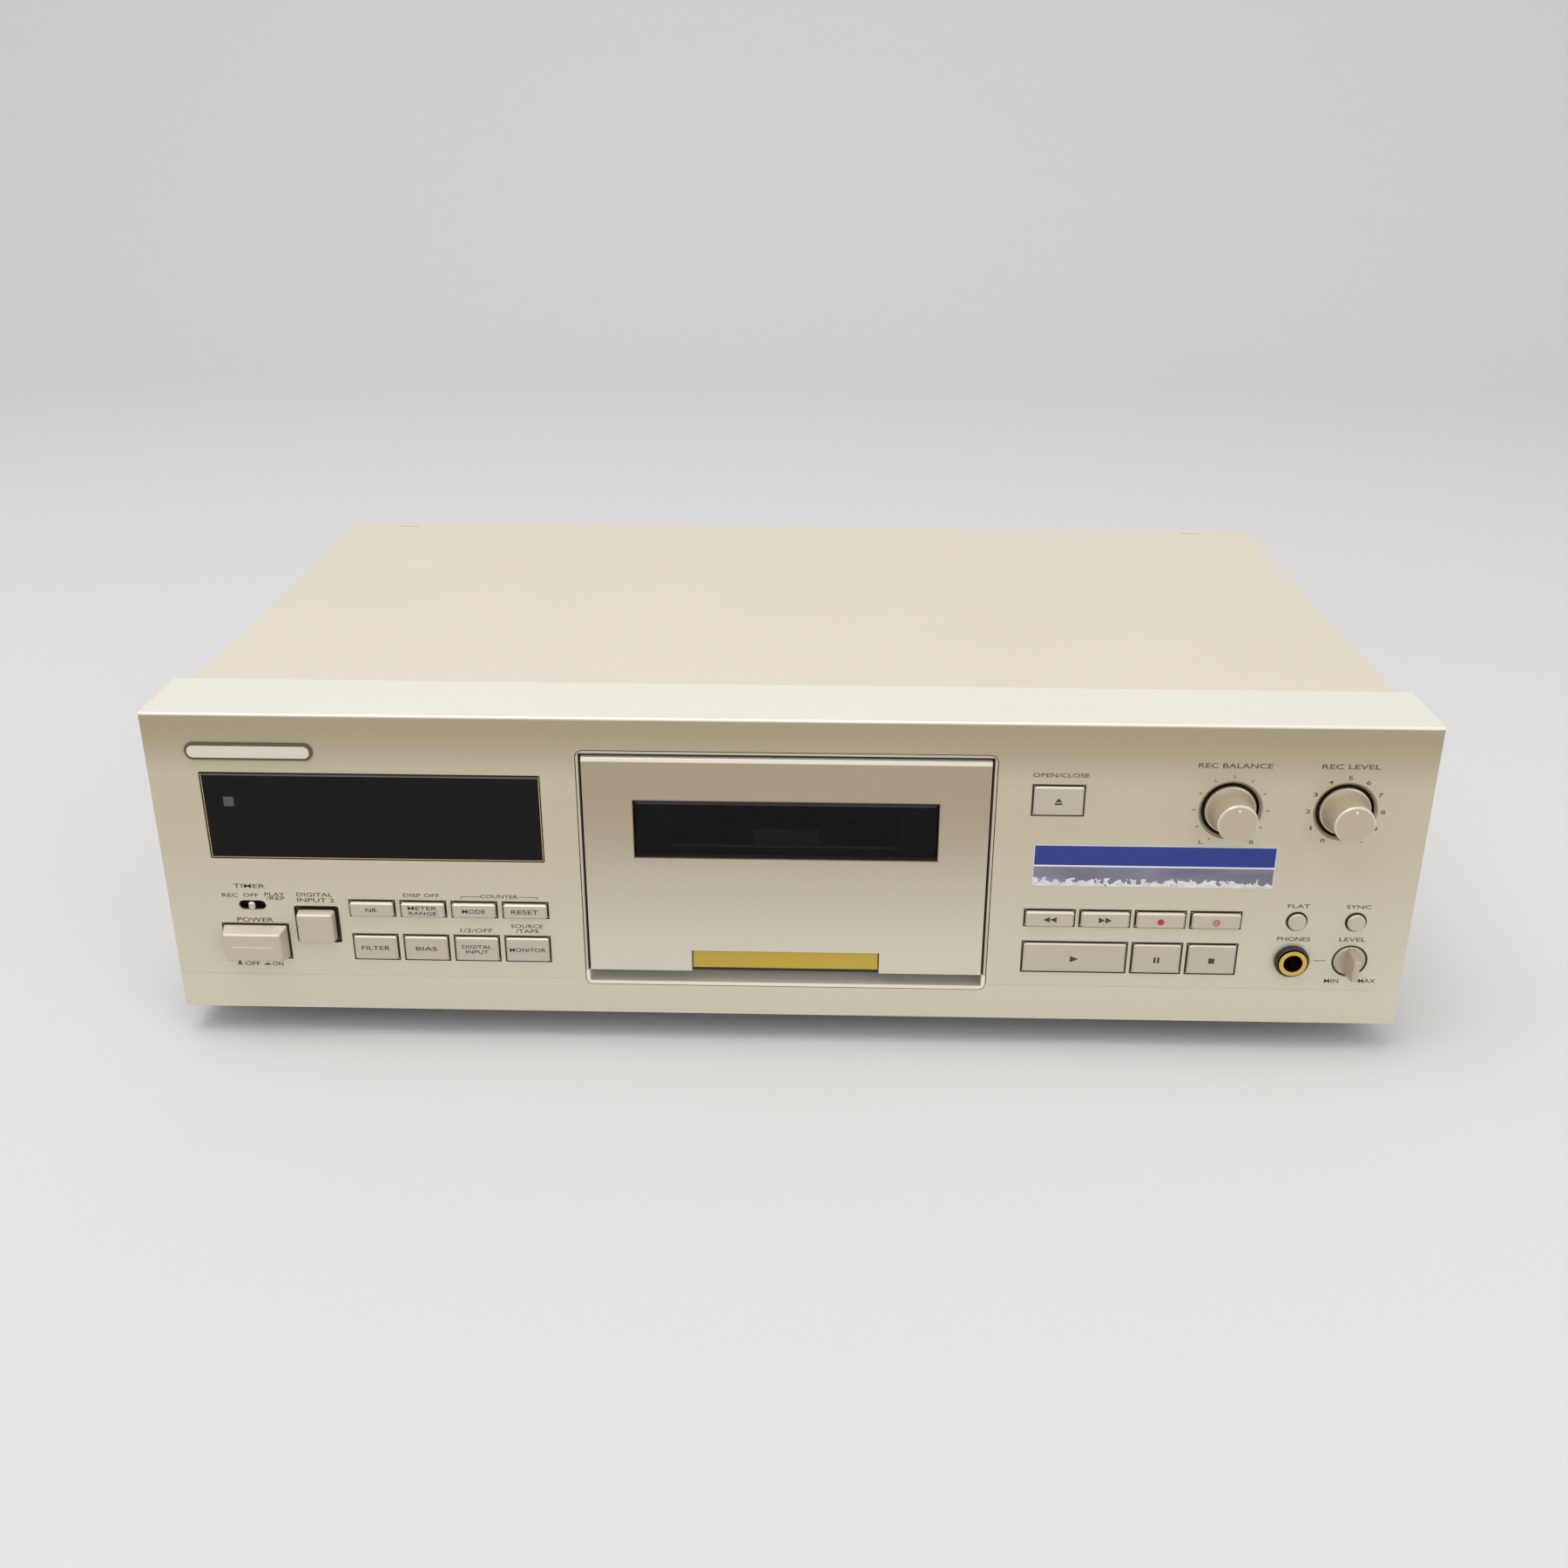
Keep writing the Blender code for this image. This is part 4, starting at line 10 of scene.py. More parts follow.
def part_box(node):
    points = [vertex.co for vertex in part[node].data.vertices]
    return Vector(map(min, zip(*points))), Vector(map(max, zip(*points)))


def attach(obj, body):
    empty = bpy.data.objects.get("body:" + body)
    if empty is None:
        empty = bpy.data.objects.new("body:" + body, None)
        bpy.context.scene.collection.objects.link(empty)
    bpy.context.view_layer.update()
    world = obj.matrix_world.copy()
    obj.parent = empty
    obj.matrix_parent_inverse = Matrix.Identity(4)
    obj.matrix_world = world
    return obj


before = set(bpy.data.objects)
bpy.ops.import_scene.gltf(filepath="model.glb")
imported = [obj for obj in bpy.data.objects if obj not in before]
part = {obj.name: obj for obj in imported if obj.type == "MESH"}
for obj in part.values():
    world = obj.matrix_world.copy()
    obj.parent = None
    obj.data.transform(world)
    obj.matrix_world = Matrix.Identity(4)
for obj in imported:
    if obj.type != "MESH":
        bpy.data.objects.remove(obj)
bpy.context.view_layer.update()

# The viewpoint. One camera stands a little above the deck, slightly right of its middle, and looks
# down on it: the place and lens that put the front's corners and the cover's far edge where the
# photograph has them.
camera_lens = bpy.data.cameras.new("viewpoint")
camera_lens.sensor_width = 36.0
camera_lens.lens = 36.695
camera_lens.shift_x = -0.00128
camera_lens.shift_y = -0.00613
camera = bpy.data.objects.new("viewpoint", camera_lens)
bpy.context.scene.collection.objects.link(camera)
sight_right = Vector((0.99969607, 0.02447006, 0.00299641))
sight_ahead = Vector((-0.0212792, 0.91786715, -0.39631691))
sight_up = sight_right.cross(sight_ahead)
camera.matrix_world = Matrix((
    (sight_right.x, sight_up.x, -sight_ahead.x, 0.011085),
    (sight_right.y, sight_up.y, -sight_ahead.y, -0.598349),
    (sight_right.z, sight_up.z, -sight_ahead.z, 0.307678),
    (0, 0, 0, 1)))
bpy.context.scene.camera = camera
bpy.context.scene.view_settings.view_transform = "Standard"


# The studio. A pale paper sweep runs under the deck and up behind it, an even sky lights it from
# all round, and two large soft lamps give the front and the top their slight modelling.
def srgb(red, green, blue):
    """Linear colour of an eight-bit display colour."""
    shares = (red / 255, green / 255, blue / 255)
    return (*(s / 12.92 if s <= 0.04045 else ((s + 0.055) / 1.055) ** 2.4 for s in shares), 1.0)


def new_finish(name, colour, roughness, metallic=0.0):
    """A material with its plain values set, and its tree and shader for the nodes to come."""
    finish = bpy.data.materials.new(name)
    finish.use_nodes = True
    surface = finish.node_tree.nodes["Principled BSDF"]
    surface.inputs["Base Color"].default_value = colour
    surface.inputs["Roughness"].default_value = roughness
    surface.inputs["Metallic"].default_value = metallic
    return finish, finish.node_tree, surface


def mesh_piece(name, bm, finish, body=None):
    """A named object from a bmesh, with its finish, riding on a body where one is named."""
    mesh = bpy.data.meshes.new(name)
    bm.normal_update()
    bm.to_mesh(mesh)
    bm.free()
    mesh.materials.append(finish)
    made = bpy.data.objects.new(name, mesh)
    bpy.context.scene.collection.objects.link(made)
    if body:
        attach(made, body)
    return made


paper, paper_tree, paper_surface = new_finish("paper_sweep", srgb(226, 226, 227), 0.95)
paper_noise = paper_tree.nodes.new("ShaderNodeTexNoise")
paper_noise.inputs["Scale"].default_value = 260.0
paper_noise.inputs["Detail"].default_value = 4.0
paper_bump = paper_tree.nodes.new("ShaderNodeBump")
paper_bump.inputs["Strength"].default_value = 0.05
paper_bump.inputs["Distance"].default_value = 0.0005
paper_tree.links.new(paper_noise.outputs["Fac"], paper_bump.inputs["Height"])
paper_tree.links.new(paper_bump.outputs["Normal"], paper_surface.inputs["Normal"])
sweep_line = [(-5.0, 0.0), (-1.0, 0.0), (1.2, 0.0)]
for step in range(1, 13):
    turn = math.radians(90 * step / 12)
    sweep_line.append((1.2 + 0.9 * math.sin(turn), 0.9 * (1 - math.cos(turn))))
sweep_line.append((2.1, 4.0))
sweep = bmesh.new()
sweep_rows = [[sweep.verts.new((x, y, z)) for y, z in sweep_line] for x in (-5.0, 5.0)]
for step in range(len(sweep_line) - 1):
    near, far = sweep_rows
    sweep.faces.new((near[step], far[step], far[step + 1], near[step + 1]))
sweep_piece = mesh_piece("paper_sweep", sweep, paper)
sweep_piece.data.shade_smooth()

sky = bpy.data.worlds.new("even_sky")
sky.use_nodes = True
sky_light = sky.node_tree.nodes["Background"]
sky_light.inputs["Color"].default_value = (1.0, 0.995, 0.985, 1.0)
sky_light.inputs["Strength"].default_value = 0.72
bpy.context.scene.world = sky

for lamp_name, place, aim, size, power in (
        ("ceiling_lamp", (-0.35, -0.35, 1.7), (0, 0, 0.05), 1.3, 11.0),
        ("window_lamp", (1.1, -1.2, 1.0), (0, -0.1, 0.06), 0.9, 4.0)):
    lamp_data = bpy.data.lights.new(lamp_name, "AREA")
    lamp_data.shape = "SQUARE"
    lamp_data.size = size
    lamp_data.energy = power
    lamp = bpy.data.objects.new(lamp_name, lamp_data)
    bpy.context.scene.collection.objects.link(lamp)
    lamp.location = place
    lamp.rotation_euler = (Vector(aim) - Vector(place)).to_track_quat("-Z", "Y").to_euler()


# The front panel. It is a folded and blasted aluminium extrusion in champagne: the front, its top
# and its two returned sides are one piece, with a fine sprayed grain and softly turned edges.
def new_group(name, inputs, outputs):
    """An empty shader node group with named sockets, and its input and output nodes."""
    group = bpy.data.node_groups.new(name, "ShaderNodeTree")
    for label, kind, start in inputs:
        socket = group.interface.new_socket(label, in_out="INPUT", socket_type=kind)
        socket.default_value = start
    for label, kind in outputs:
        group.interface.new_socket(label, in_out="OUTPUT", socket_type=kind)
    return group, group.nodes.new("NodeGroupInput"), group.nodes.new("NodeGroupOutput")


def sum_of(tree, operation, first, second=None, third=None):
    """Output of a Math node; each argument is a socket or a number."""
    node = tree.nodes.new("ShaderNodeMath")
    node.operation = operation
    for place, given in enumerate((first, second, third)):
        if isinstance(given, bpy.types.NodeSocket):
            tree.links.new(given, node.inputs[place])
        elif given is not None:
            node.inputs[place].default_value = given
    return node.outputs[0]


def noise_in(tree, scale, detail, stretch=(1, 1, 1)):
    """Noise over a piece's own coordinates, which may be stretched into a brushed or rolled grain."""
    place = tree.nodes.new("ShaderNodeTexCoord")
    mapping = tree.nodes.new("ShaderNodeMapping")
    mapping.inputs["Scale"].default_value = stretch
    noise = tree.nodes.new("ShaderNodeTexNoise")
    noise.inputs["Scale"].default_value = scale
    noise.inputs["Detail"].default_value = detail
    tree.links.new(place.outputs["Object"], mapping.inputs["Vector"])
    tree.links.new(mapping.outputs["Vector"], noise.inputs["Vector"])
    return noise.outputs["Fac"]


def tinted(tree, colour, value):
    """A colour made lighter or darker by a value about one."""
    node = tree.nodes.new("ShaderNodeMix")
    node.data_type = "RGBA"
    node.blend_type = "MULTIPLY"
    node.inputs["Factor"].default_value = 1.0
    tree.links.new(colour, node.inputs["A"])
    tree.links.new(value, node.inputs["B"])
    return node.outputs["Result"]


grain, grain_in, grain_out = new_group(
    "sprayed_grain",
    (("Paint", "NodeSocketColor", (0.5, 0.5, 0.5, 1)), ("Sheen", "NodeSocketFloat", 0.4),
     ("Fleck", "NodeSocketFloat", 0.05), ("Cloud", "NodeSocketFloat", 0.03)),
    (("Color", "NodeSocketColor"), ("Roughness", "NodeSocketFloat"), ("Height", "NodeSocketFloat")))
fleck = noise_in(grain, 2600.0, 2.0)
cloud = noise_in(grain, 14.0, 3.0)
fleck_part = sum_of(grain, "MULTIPLY", sum_of(grain, "SUBTRACT", fleck, 0.5), grain_in.outputs["Fleck"])
cloud_part = sum_of(grain, "MULTIPLY", sum_of(grain, "SUBTRACT", cloud, 0.5), grain_in.outputs["Cloud"])
tone = sum_of(grain, "ADD", sum_of(grain, "ADD", fleck_part, cloud_part), 1.0)
grain.links.new(tinted(grain, grain_in.outputs["Paint"], tone), grain_out.inputs["Color"])
sheen = sum_of(grain, "MULTIPLY_ADD", sum_of(grain, "SUBTRACT", fleck, 0.5), 0.10, grain_in.outputs["Sheen"])
sheen = sum_of(grain, "MULTIPLY_ADD", sum_of(grain, "SUBTRACT", cloud, 0.5), 0.06, sheen)
grain.links.new(sheen, grain_out.inputs["Roughness"])
grain.links.new(fleck, grain_out.inputs["Height"])

# A group that paints light and shade by height: one tone below a height, another above, blended between them.
upright, upright_in, upright_out = new_group(
    "painted_light_by_height",
    (("Low tone", "NodeSocketColor", (0.5, 0.5, 0.5, 1)),
     ("High tone", "NodeSocketColor", (0.5, 0.5, 0.5, 1)),
     ("Low height", "NodeSocketFloat", 0.0), ("High height", "NodeSocketFloat", 0.1)),
    (("Color", "NodeSocketColor"),))
upright_place = upright.nodes.new("ShaderNodeTexCoord")
upright_split = upright.nodes.new("ShaderNodeSeparateXYZ")
upright.links.new(upright_place.outputs["Object"], upright_split.inputs["Vector"])
upright_range = upright.nodes.new("ShaderNodeMapRange")
upright_range.interpolation_type = "SMOOTHSTEP"
upright.links.new(upright_split.outputs["Z"], upright_range.inputs["Value"])
upright.links.new(upright_in.outputs["Low height"], upright_range.inputs["From Min"])
upright.links.new(upright_in.outputs["High height"], upright_range.inputs["From Max"])
upright_mix = upright.nodes.new("ShaderNodeMix")
upright_mix.data_type = "RGBA"
upright.links.new(upright_range.outputs["Result"], upright_mix.inputs["Factor"])
upright.links.new(upright_in.outputs["Low tone"], upright_mix.inputs["A"])
upright.links.new(upright_in.outputs["High tone"], upright_mix.inputs["B"])
upright.links.new(upright_mix.outputs["Result"], upright_out.inputs["Color"])


def placed(tree, group, values):
    """A group's node in a material, its inputs set from values or joined to sockets."""
    node = tree.nodes.new("ShaderNodeGroup")
    node.node_tree = group
    for label, given in values.items():
        if isinstance(given, bpy.types.NodeSocket):
            tree.links.new(given, node.inputs[label])
        else:
            node.inputs[label].default_value = given
    return node


def join_grain(tree, surface, values, bump, distance):
    """Feed a surface's colour, roughness and normal from the sprayed grain."""
    node = placed(tree, grain, values)
    tree.links.new(node.outputs["Color"], surface.inputs["Base Color"])
    tree.links.new(node.outputs["Roughness"], surface.inputs["Roughness"])
    relief = tree.nodes.new("ShaderNodeBump")
    relief.inputs["Strength"].default_value = bump
    relief.inputs["Distance"].default_value = distance
    tree.links.new(node.outputs["Height"], relief.inputs["Height"])
    tree.links.new(relief.outputs["Normal"], surface.inputs["Normal"])
    return node


def sprayed(name, paint, sheen, metallic=0.0, fleck=0.1, cloud=0.1, bump=0.08, distance=0.00003):
    """A finish of one colour under the sprayed grain."""
    finish, tree, surface = new_finish(name, paint, sheen, metallic)
    values = {"Paint": paint, "Sheen": sheen, "Fleck": fleck, "Cloud": cloud}
    join_grain(tree, surface, values, bump, distance)
    return finish


def dress(nodes, finish, gentle=None):
    """Give solids their finish; gentle is the turn, in degrees, up to which shading runs smooth."""
    for name in nodes:
        mesh = part[name].data
        mesh.materials.clear()
        mesh.materials.append(finish)
        if gentle:
            mesh.shade_smooth()
            weld = part[name].modifiers.new("weld", "WELD")
            weld.merge_threshold = 0.000002
            creases = part[name].modifiers.new("creases", "EDGE_SPLIT")
            creases.split_angle = math.radians(gentle)


shade, shade_in, shade_out = new_group(
    "recess_shade",
    (("Color", "NodeSocketColor", (1, 1, 1, 1)), ("Deep", "NodeSocketColor", (0.06, 0.035, 0.02, 1)),
     ("Start", "NodeSocketFloat", 0.0), ("Full", "NodeSocketFloat", 0.001),
     ("Half width", "NodeSocketFloat", 1.0), ("Floor", "NodeSocketFloat", -1.0),
     ("Ceiling", "NodeSocketFloat", 1.0)),
    (("Color", "NodeSocketColor"),))
shade_place = shade.nodes.new("ShaderNodeTexCoord")
shade_split = shade.nodes.new("ShaderNodeSeparateXYZ")
shade.links.new(shade_place.outputs["Object"], shade_split.inputs["Vector"])
shade_ramp = shade.nodes.new("ShaderNodeMapRange")
shade.links.new(shade_split.outputs["Y"], shade_ramp.inputs["Value"])
shade.links.new(shade_in.outputs["Start"], shade_ramp.inputs["From Min"])
shade.links.new(shade_in.outputs["Full"], shade_ramp.inputs["From Max"])
off_middle = sum_of(shade, "ABSOLUTE", shade_split.outputs["X"])
within = sum_of(shade, "LESS_THAN", off_middle, shade_in.outputs["Half width"])
above = sum_of(shade, "GREATER_THAN", shade_split.outputs["Z"], shade_in.outputs["Floor"])
below = sum_of(shade, "LESS_THAN", shade_split.outputs["Z"], shade_in.outputs["Ceiling"])
shade_mask = sum_of(shade, "MULTIPLY", sum_of(shade, "MULTIPLY", within, above), below)
shade_mask = sum_of(shade, "MULTIPLY", shade_mask, shade_ramp.outputs["Result"])


def chosen(tree, mask, low, high):
    """One colour where the mask is nought and another where it is one."""
    node = tree.nodes.new("ShaderNodeMix")
    node.data_type = "RGBA"
    tree.links.new(mask, node.inputs["Factor"])
    for label, given in (("A", low), ("B", high)):
        if isinstance(given, bpy.types.NodeSocket):
            tree.links.new(given, node.inputs[label])
        else:
            node.inputs[label].default_value = given
    return node.outputs["Result"]


shade.links.new(
    chosen(shade, shade_mask, shade_in.outputs["Color"], shade_in.outputs["Deep"]), shade_out.inputs["Color"])
face_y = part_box("front_panel")[0].y
face_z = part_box("lower_trim")[0].z
hole_shade_brown = srgb(58, 44, 34)
# The panel's colour carries painted light: lighter towards the foot, painted shade darkening up the front
# towards its top, a painted highlight along the top return, and dark brown painted shade deepening into every
# hole.
champagne, champagne_tree, champagne_surface = new_finish("champagne_front", srgb(203, 194, 168), 0.40, 0.35)
champagne_light_low = placed(champagne_tree, upright, {
    "Low tone": srgb(216, 210, 190), "High tone": srgb(206, 196, 170),
    "Low height": 0.025, "High height": 0.090})
champagne_shade_high = placed(champagne_tree, upright, {
    "Low tone": champagne_light_low.outputs["Color"], "High tone": srgb(175, 162, 132),
    "Low height": 0.095, "High height": 0.118})
champagne_top_highlight = placed(champagne_tree, upright, {
    "Low tone": champagne_shade_high.outputs["Color"], "High tone": srgb(252, 247, 234),
    "Low height": 0.1196, "High height": 0.1205})
champagne_hole_shade = placed(champagne_tree, shade, {
    "Color": champagne_top_highlight.outputs["Color"], "Deep": hole_shade_brown, "Start": face_y + 0.00005,
    "Full": face_y + 0.0011, "Half width": 0.2085, "Ceiling": 0.1190})
join_grain(
    champagne_tree, champagne_surface,
    {"Paint": champagne_hole_shade.outputs["Color"], "Sheen": 0.42, "Fleck": 0.10, "Cloud": 0.03}, 0.10, 0.00004)
dress(["front_panel"], champagne)

# The lower trim. A separate strip of the same extrusion closes the front below a fine parting
# line; it is a shade greyer than the panel above it.
dress(["lower_trim"], sprayed(
    "champagne_trim", srgb(219, 212, 191), 0.42, 0.35, cloud=0.03, bump=0.10, distance=0.00004))
# A pale strip laid in the parting line is a painted highlight, standing for the trim's upper edge catching
# the light.
parting_highlight = sprayed("parting_highlight", srgb(252, 246, 228), 0.36, 0.3, cloud=0.03, bump=0.10, distance=0.00004)
well_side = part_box("cassette_well")[1].x
parting_highlight_bars = bmesh.new()
for x_near, x_far in ((-0.2095, -well_side - 0.0002), (well_side + 0.0002, 0.2095)):
    bmesh.ops.create_cube(parting_highlight_bars, size=1.0, matrix=Matrix.Translation(
        ((x_near + x_far) / 2, face_y + 0.0010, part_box("lower_trim")[1].z + 0.00008)) @ Matrix.Diagonal(
        (x_far - x_near, 0.0018, 0.00016, 1)))
mesh_piece("parting_highlight", parting_highlight_bars, parting_highlight, "casing")

# The cover and the back. Both are folded steel sheet, sprayed in a fine matt cream; the cover's
# skirts and rear flange lap over the pan and the back.
dress(["top_cover", "rear_panel"], sprayed(
    "cream_sheet", srgb(226, 217, 199), 0.52, fleck=0.06, cloud=0.05, bump=0.14, distance=0.00005))

# The cover's screws. Four pan-head screws hold the skirts to the pan, two to a side, and eight more run
# across the flange and the back; each is bright plated steel, and its cross recess is drawn as a dark cross
# of painted shade.
bright = sprayed("bright_screws", srgb(196, 193, 186), 0.30, 1.0, 0.05, 0.05, 0.05, 0.00002)
recess = sprayed("screw_recess_shade", srgb(58, 56, 52), 0.5, 0.8, 0.1, 0.1, 0.05, 0.00002)


def lathe(name, profile, place, facing, finish, body, steps=48):
    """A turned piece from (radius, height) points; its height runs from place along facing."""
    bm = bmesh.new()
    rows = []
    for radius, height in profile:
        if radius == 0:
            rows.append([bm.verts.new((0, 0, height))])
        else:
            turns = [math.tau * s / steps for s in range(steps)]
            rows.append([bm.verts.new((radius * math.cos(t), radius * math.sin(t), height)) for t in turns])
    for low, high in zip(rows, rows[1:]):
        for s in range(steps):
            after = (s + 1) % steps
            corners = [low[s % len(low)], low[after % len(low)], high[after % len(high)], high[s % len(high)]]
            bm.faces.new(list(dict.fromkeys(corners)))
    bmesh.ops.remove_doubles(bm, verts=bm.verts, dist=0.000001)
    bmesh.ops.recalc_face_normals(bm, faces=bm.faces)
    turn = Vector((0, 0, 1)).rotation_difference(Vector(facing)).to_matrix().to_4x4()
    bmesh.ops.transform(bm, matrix=Matrix.Translation(place) @ turn, verts=bm.verts)
    made = mesh_piece(name, bm, finish, body)
    made.data.shade_smooth()
    made.data.set_sharp_from_angle(angle=math.radians(34))
    return made


def ring(name, inner, outer, low, high, place, facing, finish, body, steps=48):
    """A flat turned ring between two radii and two heights."""
    profile = [(inner, low), (outer, low), (outer, high), (inner, high), (inner, low)]
    return lathe(name, profile, place, facing, finish, body, steps)


def block(bm, low, high):
    """A box between two corners."""
    centre = [(a + b) / 2 for a, b in zip(low, high)]
    size = [b - a for a, b in zip(low, high)]
    matrix = Matrix.Translation(centre) @ Matrix.Diagonal((*size, 1))
    return bmesh.ops.create_cube(bm, size=1.0, matrix=matrix)["verts"]


def screw(name, place, facing):
    """Pan-head screw whose cross recess is a dark cross of painted shade, standing on a sheet."""
    profile = [(0, -0.0004), (0.0031, -0.0004), (0.0031, 0.0004), (0.0027, 0.0011),
               (0.0016, 0.0016), (0, 0.0017)]
    lathe(name, profile, place, facing, bright, "casing", 28)
    cross = bmesh.new()
    for angle in (20, 110):
        bar = block(cross, (-0.0016, -0.00030, 0.0012), (0.0016, 0.00030, 0.00174))
        slant = Matrix.Rotation(math.radians(angle), 3, "Z")
        bmesh.ops.rotate(cross, verts=bar, cent=(0, 0, 0), matrix=slant)
    turn = Vector((0, 0, 1)).rotation_difference(Vector(facing)).to_matrix().to_4x4()
    bmesh.ops.transform(cross, matrix=Matrix.Translation(place) @ turn, verts=cross.verts)
    mesh_piece(f"{name}_recess", cross, recess, "casing")


skirt_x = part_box("top_cover")[1].x
for side, way in (("left", -1), ("right", 1)):
    for row, y in (("front", -0.055), ("rear", 0.095)):
        screw(f"side_screw_{row}_{side}", (way * skirt_x, y, 0.024), (way, 0, 0))
back_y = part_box("rear_panel")[1].y
flange_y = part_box("top_cover")[1].y
for index, x in enumerate((-0.18, -0.06, 0.06, 0.18)):
    screw(f"flange_screw_{index + 1}", (x, flange_y, 0.1150), (0, 1, 0))
for index, x in enumerate((-0.19, -0.09, 0.03, 0.19)):
    screw(f"rear_screw_{index + 1}", (x, back_y, 0.0170), (0, 1, 0))

# The chassis pan. Plated steel sheet under the deck, dull, with the faint spangle of its zinc.
zinc, zinc_tree, zinc_surface = new_finish("zinc_sheet", srgb(176, 177, 176), 0.38, 0.9)
spangle = zinc_tree.nodes.new("ShaderNodeTexVoronoi")
spangle.inputs["Scale"].default_value = 90.0
spangle_place = zinc_tree.nodes.new("ShaderNodeTexCoord")
zinc_tree.links.new(spangle_place.outputs["Object"], spangle.inputs["Vector"])
spangle_ramp = zinc_tree.nodes.new("ShaderNodeMapRange")
spangle_ramp.inputs["To Min"].default_value = 0.30
spangle_ramp.inputs["To Max"].default_value = 0.46
zinc_tree.links.new(spangle.outputs["Color"], spangle_ramp.inputs["Value"])
zinc_tree.links.new(spangle_ramp.outputs["Result"], zinc_surface.inputs["Roughness"])
dress(["chassis_pan"], zinc)

# The feet. Black mouldings, drawn in towards the floor, each with a ring of felt let into its
# underside.
moulded, moulded_in, moulded_out = new_group(
    "moulded_grain",
    (("Paint", "NodeSocketColor", (0.02, 0.02, 0.02, 1)), ("Sheen", "NodeSocketFloat", 0.4)),
    (("Color", "NodeSocketColor"), ("Roughness", "NodeSocketFloat"), ("Height", "NodeSocketFloat")))
pore = noise_in(moulded, 1800.0, 3.0)
rub = noise_in(moulded, 60.0, 4.0)
moulded_tone = sum_of(moulded, "MULTIPLY_ADD", sum_of(moulded, "SUBTRACT", rub, 0.5), 0.5, 1.0)
moulded.links.new(tinted(moulded, moulded_in.outputs["Paint"], moulded_tone), moulded_out.inputs["Color"])
moulded.links.new(
    sum_of(moulded, "MULTIPLY_ADD", sum_of(moulded, "SUBTRACT", rub, 0.5), 0.25, moulded_in.outputs["Sheen"]),
    moulded_out.inputs["Roughness"])
moulded.links.new(pore, moulded_out.inputs["Height"])


def moulded_finish(name, colour, sheen, bump=0.2):
    """A plain moulded plastic: slight mottling, worn sheen and a fine pored surface."""
    finish, tree, surface = new_finish(name, colour, sheen)
    node = placed(tree, moulded, {"Paint": colour, "Sheen": sheen})
    tree.links.new(node.outputs["Color"], surface.inputs["Base Color"])
    tree.links.new(node.outputs["Roughness"], surface.inputs["Roughness"])
    relief = tree.nodes.new("ShaderNodeBump")
    relief.inputs["Strength"].default_value = bump
    relief.inputs["Distance"].default_value = 0.00005
    tree.links.new(node.outputs["Height"], relief.inputs["Height"])
    tree.links.new(relief.outputs["Normal"], surface.inputs["Normal"])
    return finish


black_moulding = moulded_finish("black_moulding", srgb(38, 37, 36), 0.42)
felt = moulded_finish("grey_felt", srgb(72, 70, 68), 0.95, 0.8)
feet = [f"foot_{row}_{side}" for row in ("front", "rear") for side in ("left", "right")]
dress(feet, black_moulding, 30)
for foot in feet:
    low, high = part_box(foot)
    middle = ((low.x + high.x) / 2, (low.y + high.y) / 2, 0.0)
    ring(f"{foot}_felt", 0.0080, 0.0140, 0.0, 0.0006, middle, (0, 0, 1), felt, "casing", 40)

# The printing. Every mark on the front is a thin film of dark brown ink in a plain wide face:
# function words, scale figures and the common tape symbols.
def printed(name, colour, roughness=0.5, fleck=0.3, cloud=0.2):
    """Ink: an even film with a slight fleck in its colour."""
    finish, tree, surface = new_finish(name, colour, roughness)
    node = placed(tree, grain, {"Paint": colour, "Fleck": fleck, "Cloud": cloud})
    tree.links.new(node.outputs["Color"], surface.inputs["Base Color"])
    return finish


ink = printed("panel_ink", srgb(88, 76, 60), 0.55)
dark_ink = printed("key_ink", srgb(62, 55, 50))
red_ink = printed("red_ink", srgb(196, 52, 48), 0.5, 0.2, 0.1)
film = 0.00004


def add_word(bm, word, x, z, width, height, y, outward=-1, bold=0.006):
    """Add a word as a thin film, its middle at x and z, fitted to a width and a height."""
    curve = bpy.data.curves.new("word", "FONT")
    curve.body = word
    curve.extrude = 0.5
    curve.offset = bold
    curve.resolution_u = 3
    text_object = bpy.data.objects.new("word", curve)
    bpy.context.scene.collection.objects.link(text_object)
    bpy.context.view_layer.update()
    solid = text_object.evaluated_get(bpy.context.evaluated_depsgraph_get())
    mesh = bpy.data.meshes.new_from_object(solid)
    bpy.data.objects.remove(text_object)
    bpy.data.curves.remove(curve)
    across = [v.co.x for v in mesh.vertices]
    tall = [v.co.y for v in mesh.vertices]
    before = set(bm.verts)
    bm.from_mesh(mesh)
    bpy.data.meshes.remove(mesh)
    for vert in bm.verts:
        if vert not in before:
            share_x = (vert.co.x - min(across)) / (max(across) - min(across)) - 0.5
            share_z = (vert.co.y - min(tall)) / (max(tall) - min(tall)) - 0.5
            depth = film * (vert.co.z + 0.5)
            vert.co = (x - outward * share_x * width, y + outward * depth, z + share_z * height)


def add_outline(bm, outline, front, back):
    """Add a closed prism whose outline of (x, z) points runs from front to back."""
    rows = [[bm.verts.new((x, y, z)) for x, z in outline] for y in (front, back)]
    count = len(outline)
    made = [bm.faces.new(rows[0]), bm.faces.new(rows[1][::-1])]
    for index in range(count):
        after = (index + 1) % count
        made.append(bm.faces.new((rows[0][index], rows[1][index], rows[1][after], rows[0][after])))
    bmesh.ops.recalc_face_normals(bm, faces=made)


def bar_outline(x, z, width, height):
    """Corners of an upright rectangle about a middle."""
    return [(x - width / 2, z - height / 2), (x + width / 2, z - height / 2),
            (x + width / 2, z + height / 2), (x - width / 2, z + height / 2)]


def round_outline(x, z, radius, steps=24):
    """Points of a circle about a middle."""
    return [(x + radius * math.cos(math.tau * s / steps), z + radius * math.sin(math.tau * s / steps))
            for s in range(steps)]


